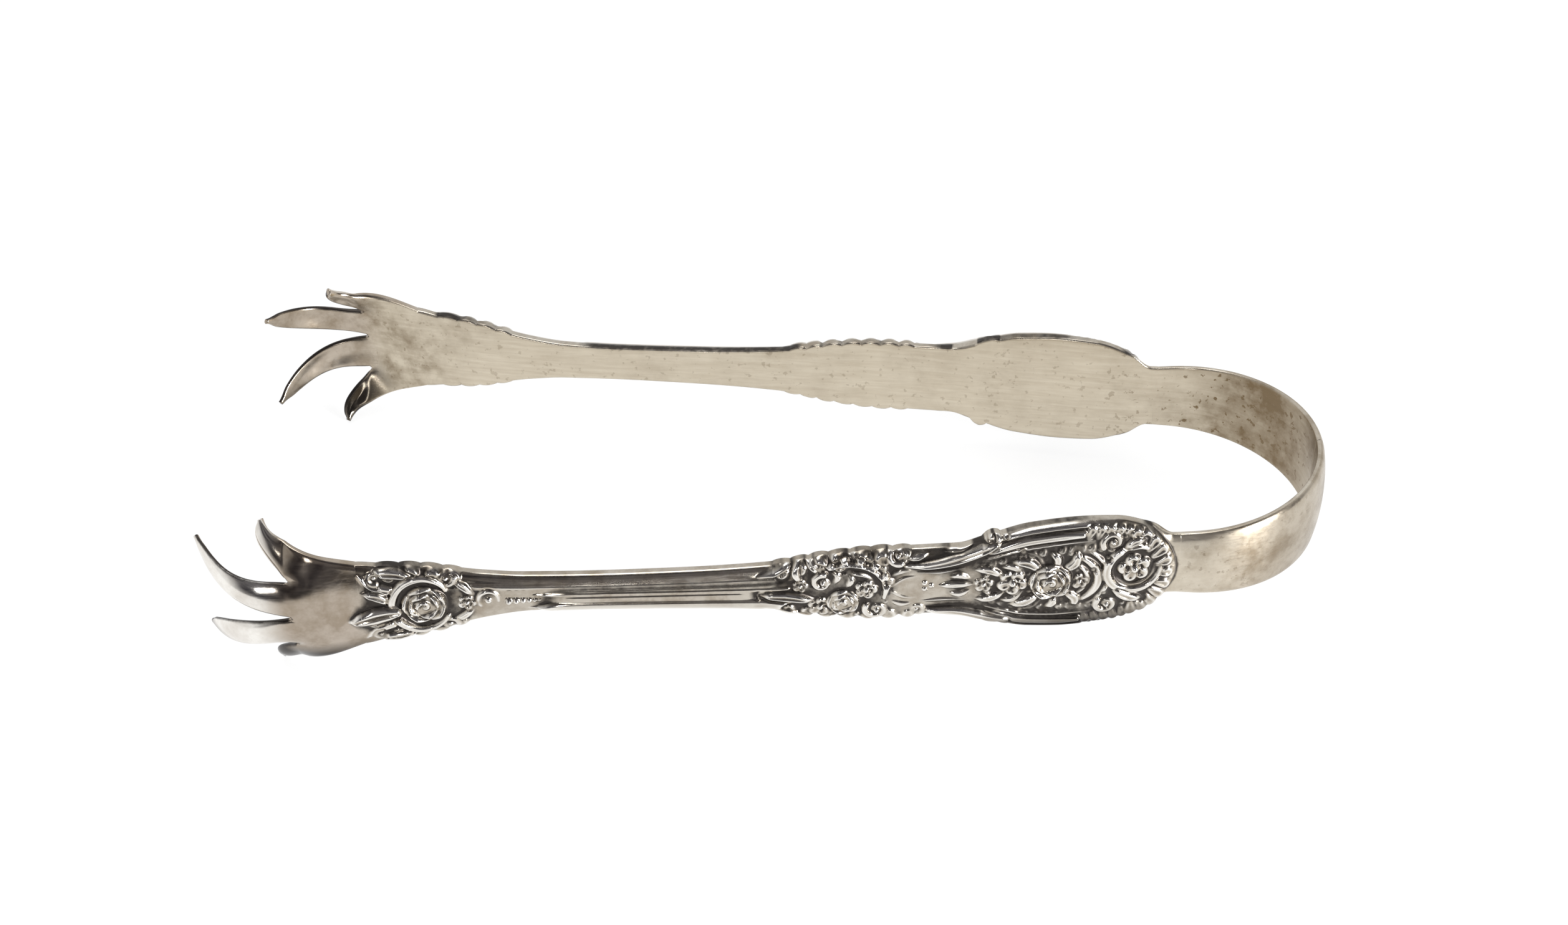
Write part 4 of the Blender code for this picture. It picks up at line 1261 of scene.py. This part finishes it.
def make_tongs():
    bow_silver, arm_silver, claw_silver = map(silver, ("bow_silver", "arm_silver", "claw_silver"))
    struck = strike_relief()
    for label, side in SIDES.items():
        body = label + "_side"
        arm = make_arm(label + "_arm_struck", side, struck, arm_silver)
        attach(arm, body)
        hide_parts(label + "_arm")
        claw = make_claw(label + "_claw_raised", side, struck, claw_silver)
        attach(claw, body)
        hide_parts(label + "_claw")
        strip = make_bow_half(label + "_bow_strip", side, bow_silver)
        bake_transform(strip)
        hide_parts("bow_crown", label + "_bow_shoulder")


# The stage: a pale floor, soft lamps and the photograph's camera

# From the tongs' middle to the camera
CAMERA_OFFSET = Vector((9.6, -246.26, 204.12)) * MM
CAMERA_ROLL = math.radians(-0.784)
LENS = 56.85
SENSOR_WIDTH = 36.0
SHIFT = (-0.00468, 0.00556)
AIM_X = 2.0

FLOOR_REACH = 3.0
FLOOR_FRONT = -0.08
FLOOR_GLOW = 0.8
PAPER = (0.93, 0.93, 0.93)
WHITE = (1.0, 1.0, 1.0)
LIGHT_ROOM = (0.92, 0.92, 0.92)
DIM_ROOM = (0.04, 0.038, 0.046)
FAR_WALL = (0.24, 0.23, 0.235)

# Each lamp's name, place, the point that it lights, its size and its power
LAMPS = [
    ("overhead", (-0.1, 0.15, 1.1), (0, 0, 0), (0.7, 0.35), 3.0),
    ("window", (0.8, -0.61, 0.22), (0, 0, 0.01), (0.16, 0.4), 23.0),
    ("near_window", (-0.14, -0.95, 0.34), (0, 0, 0.01), (0.1, 0.22), 0.9),
]


def add_camera():
    data = bpy.data.cameras.new("camera")
    data.lens = LENS
    data.sensor_width = SENSOR_WIDTH
    data.sensor_fit = "HORIZONTAL"
    data.shift_x, data.shift_y = SHIFT
    data.clip_start = 0.01
    data.clip_end = 20.0
    camera = add_object("camera", data)
    aim = Vector((AIM_X * MM, 0.0, MIDDLE_Z * MM))
    camera.location = aim + CAMERA_OFFSET
    camera.rotation_mode = "QUATERNION"
    level = (-CAMERA_OFFSET).to_track_quat("-Z", "Y")
    camera.rotation_quaternion = level @ Quaternion((0.0, 0.0, 1.0), CAMERA_ROLL)
    bpy.context.scene.camera = camera


def ray_share(nodes, *kinds):
    """1 for rays of those kinds, and else 0."""
    path = nodes.add("ShaderNodeLightPath", {})
    return nodes.sum(*(path.outputs[kind] for kind in kinds))


def add_floor():
    """A pale sheet that ends just in front of the tongs, so that they mirror the room there."""
    mesh = bpy.data.meshes.new("floor")
    near = [(-FLOOR_REACH, FLOOR_FRONT, 0), (FLOOR_REACH, FLOOR_FRONT, 0)]
    far = [(FLOOR_REACH, FLOOR_REACH, 0), (-FLOOR_REACH, FLOOR_REACH, 0)]
    mesh.from_pydata(near + far, [], [(0, 1, 2, 3)])
    material, nodes, shader = new_material("floor_paper")
    nodes.fill(shader, {"Base Color": PAPER, "Roughness": 0.8, "Specular IOR Level": 0.1})
    glow = nodes.add("ShaderNodeEmission", {"Color": WHITE})
    seen = ray_share(nodes, "Is Camera Ray", "Is Glossy Ray", "Is Transmission Ray")
    blend = nodes.add("ShaderNodeMixShader", {
        "Fac": nodes.span(seen, 0.0, 1.0, 0.0, FLOOR_GLOW),
        1: shader.outputs["BSDF"],
        2: glow.outputs["Emission"],
    })
    output = material.node_tree.nodes["Material Output"]
    nodes.fill(output, {"Surface": blend.outputs["Shader"]})
    mesh.materials.append(material)
    floor = add_object("floor", mesh)


def add_world():
    """White behind the object. What metal mirrors of the room is dim and uneven in front of it,
    and light behind and at its left."""
    world = bpy.data.worlds.new("room")
    world.use_nodes = True
    bpy.context.scene.world = world
    nodes = Nodes(world)
    direction = nodes.add("ShaderNodeTexCoord", {}).outputs["Generated"]
    parts = nodes.add("ShaderNodeSeparateXYZ", {"Vector": direction})
    tilt = nodes.sum(parts.outputs["Y"], nodes.product(parts.outputs["Z"], -0.25))
    in_front = nodes.span(tilt, -0.1, 0.25, 1.0, 0.0)
    not_left = nodes.span(parts.outputs["X"], -0.8, -0.45, 0.0, 1.0)
    patches = nodes.noise(direction, 2.6, 3.0, 0.6)
    dusk = nodes.mix(nodes.span(patches, 0.42, 0.66, 0.0, 1.0), DIM_ROOM, FAR_WALL)
    room = nodes.mix(nodes.product(in_front, not_left), LIGHT_ROOM, dusk)
    lit = ray_share(nodes, "Is Camera Ray", "Is Diffuse Ray")
    background = world.node_tree.nodes["Background"]
    nodes.fill(background, {"Color": nodes.mix(lit, room, WHITE), "Strength": 1.0})


def add_lamp(name, place, aim, size, power):
    data = bpy.data.lights.new(name, "AREA")
    data.shape = "RECTANGLE"
    data.size, data.size_y = size
    data.energy = power
    lamp = add_object(name, data)
    lamp.location = place
    lamp.rotation_euler = (Vector(aim) - Vector(place)).to_track_quat("-Z", "Y").to_euler()


def add_stage():
    add_camera()
    add_floor()
    add_world()
    for lamp in LAMPS:
        add_lamp(*lamp)
    bpy.context.scene.view_settings.view_transform = "Standard"


make_tongs()
add_stage()
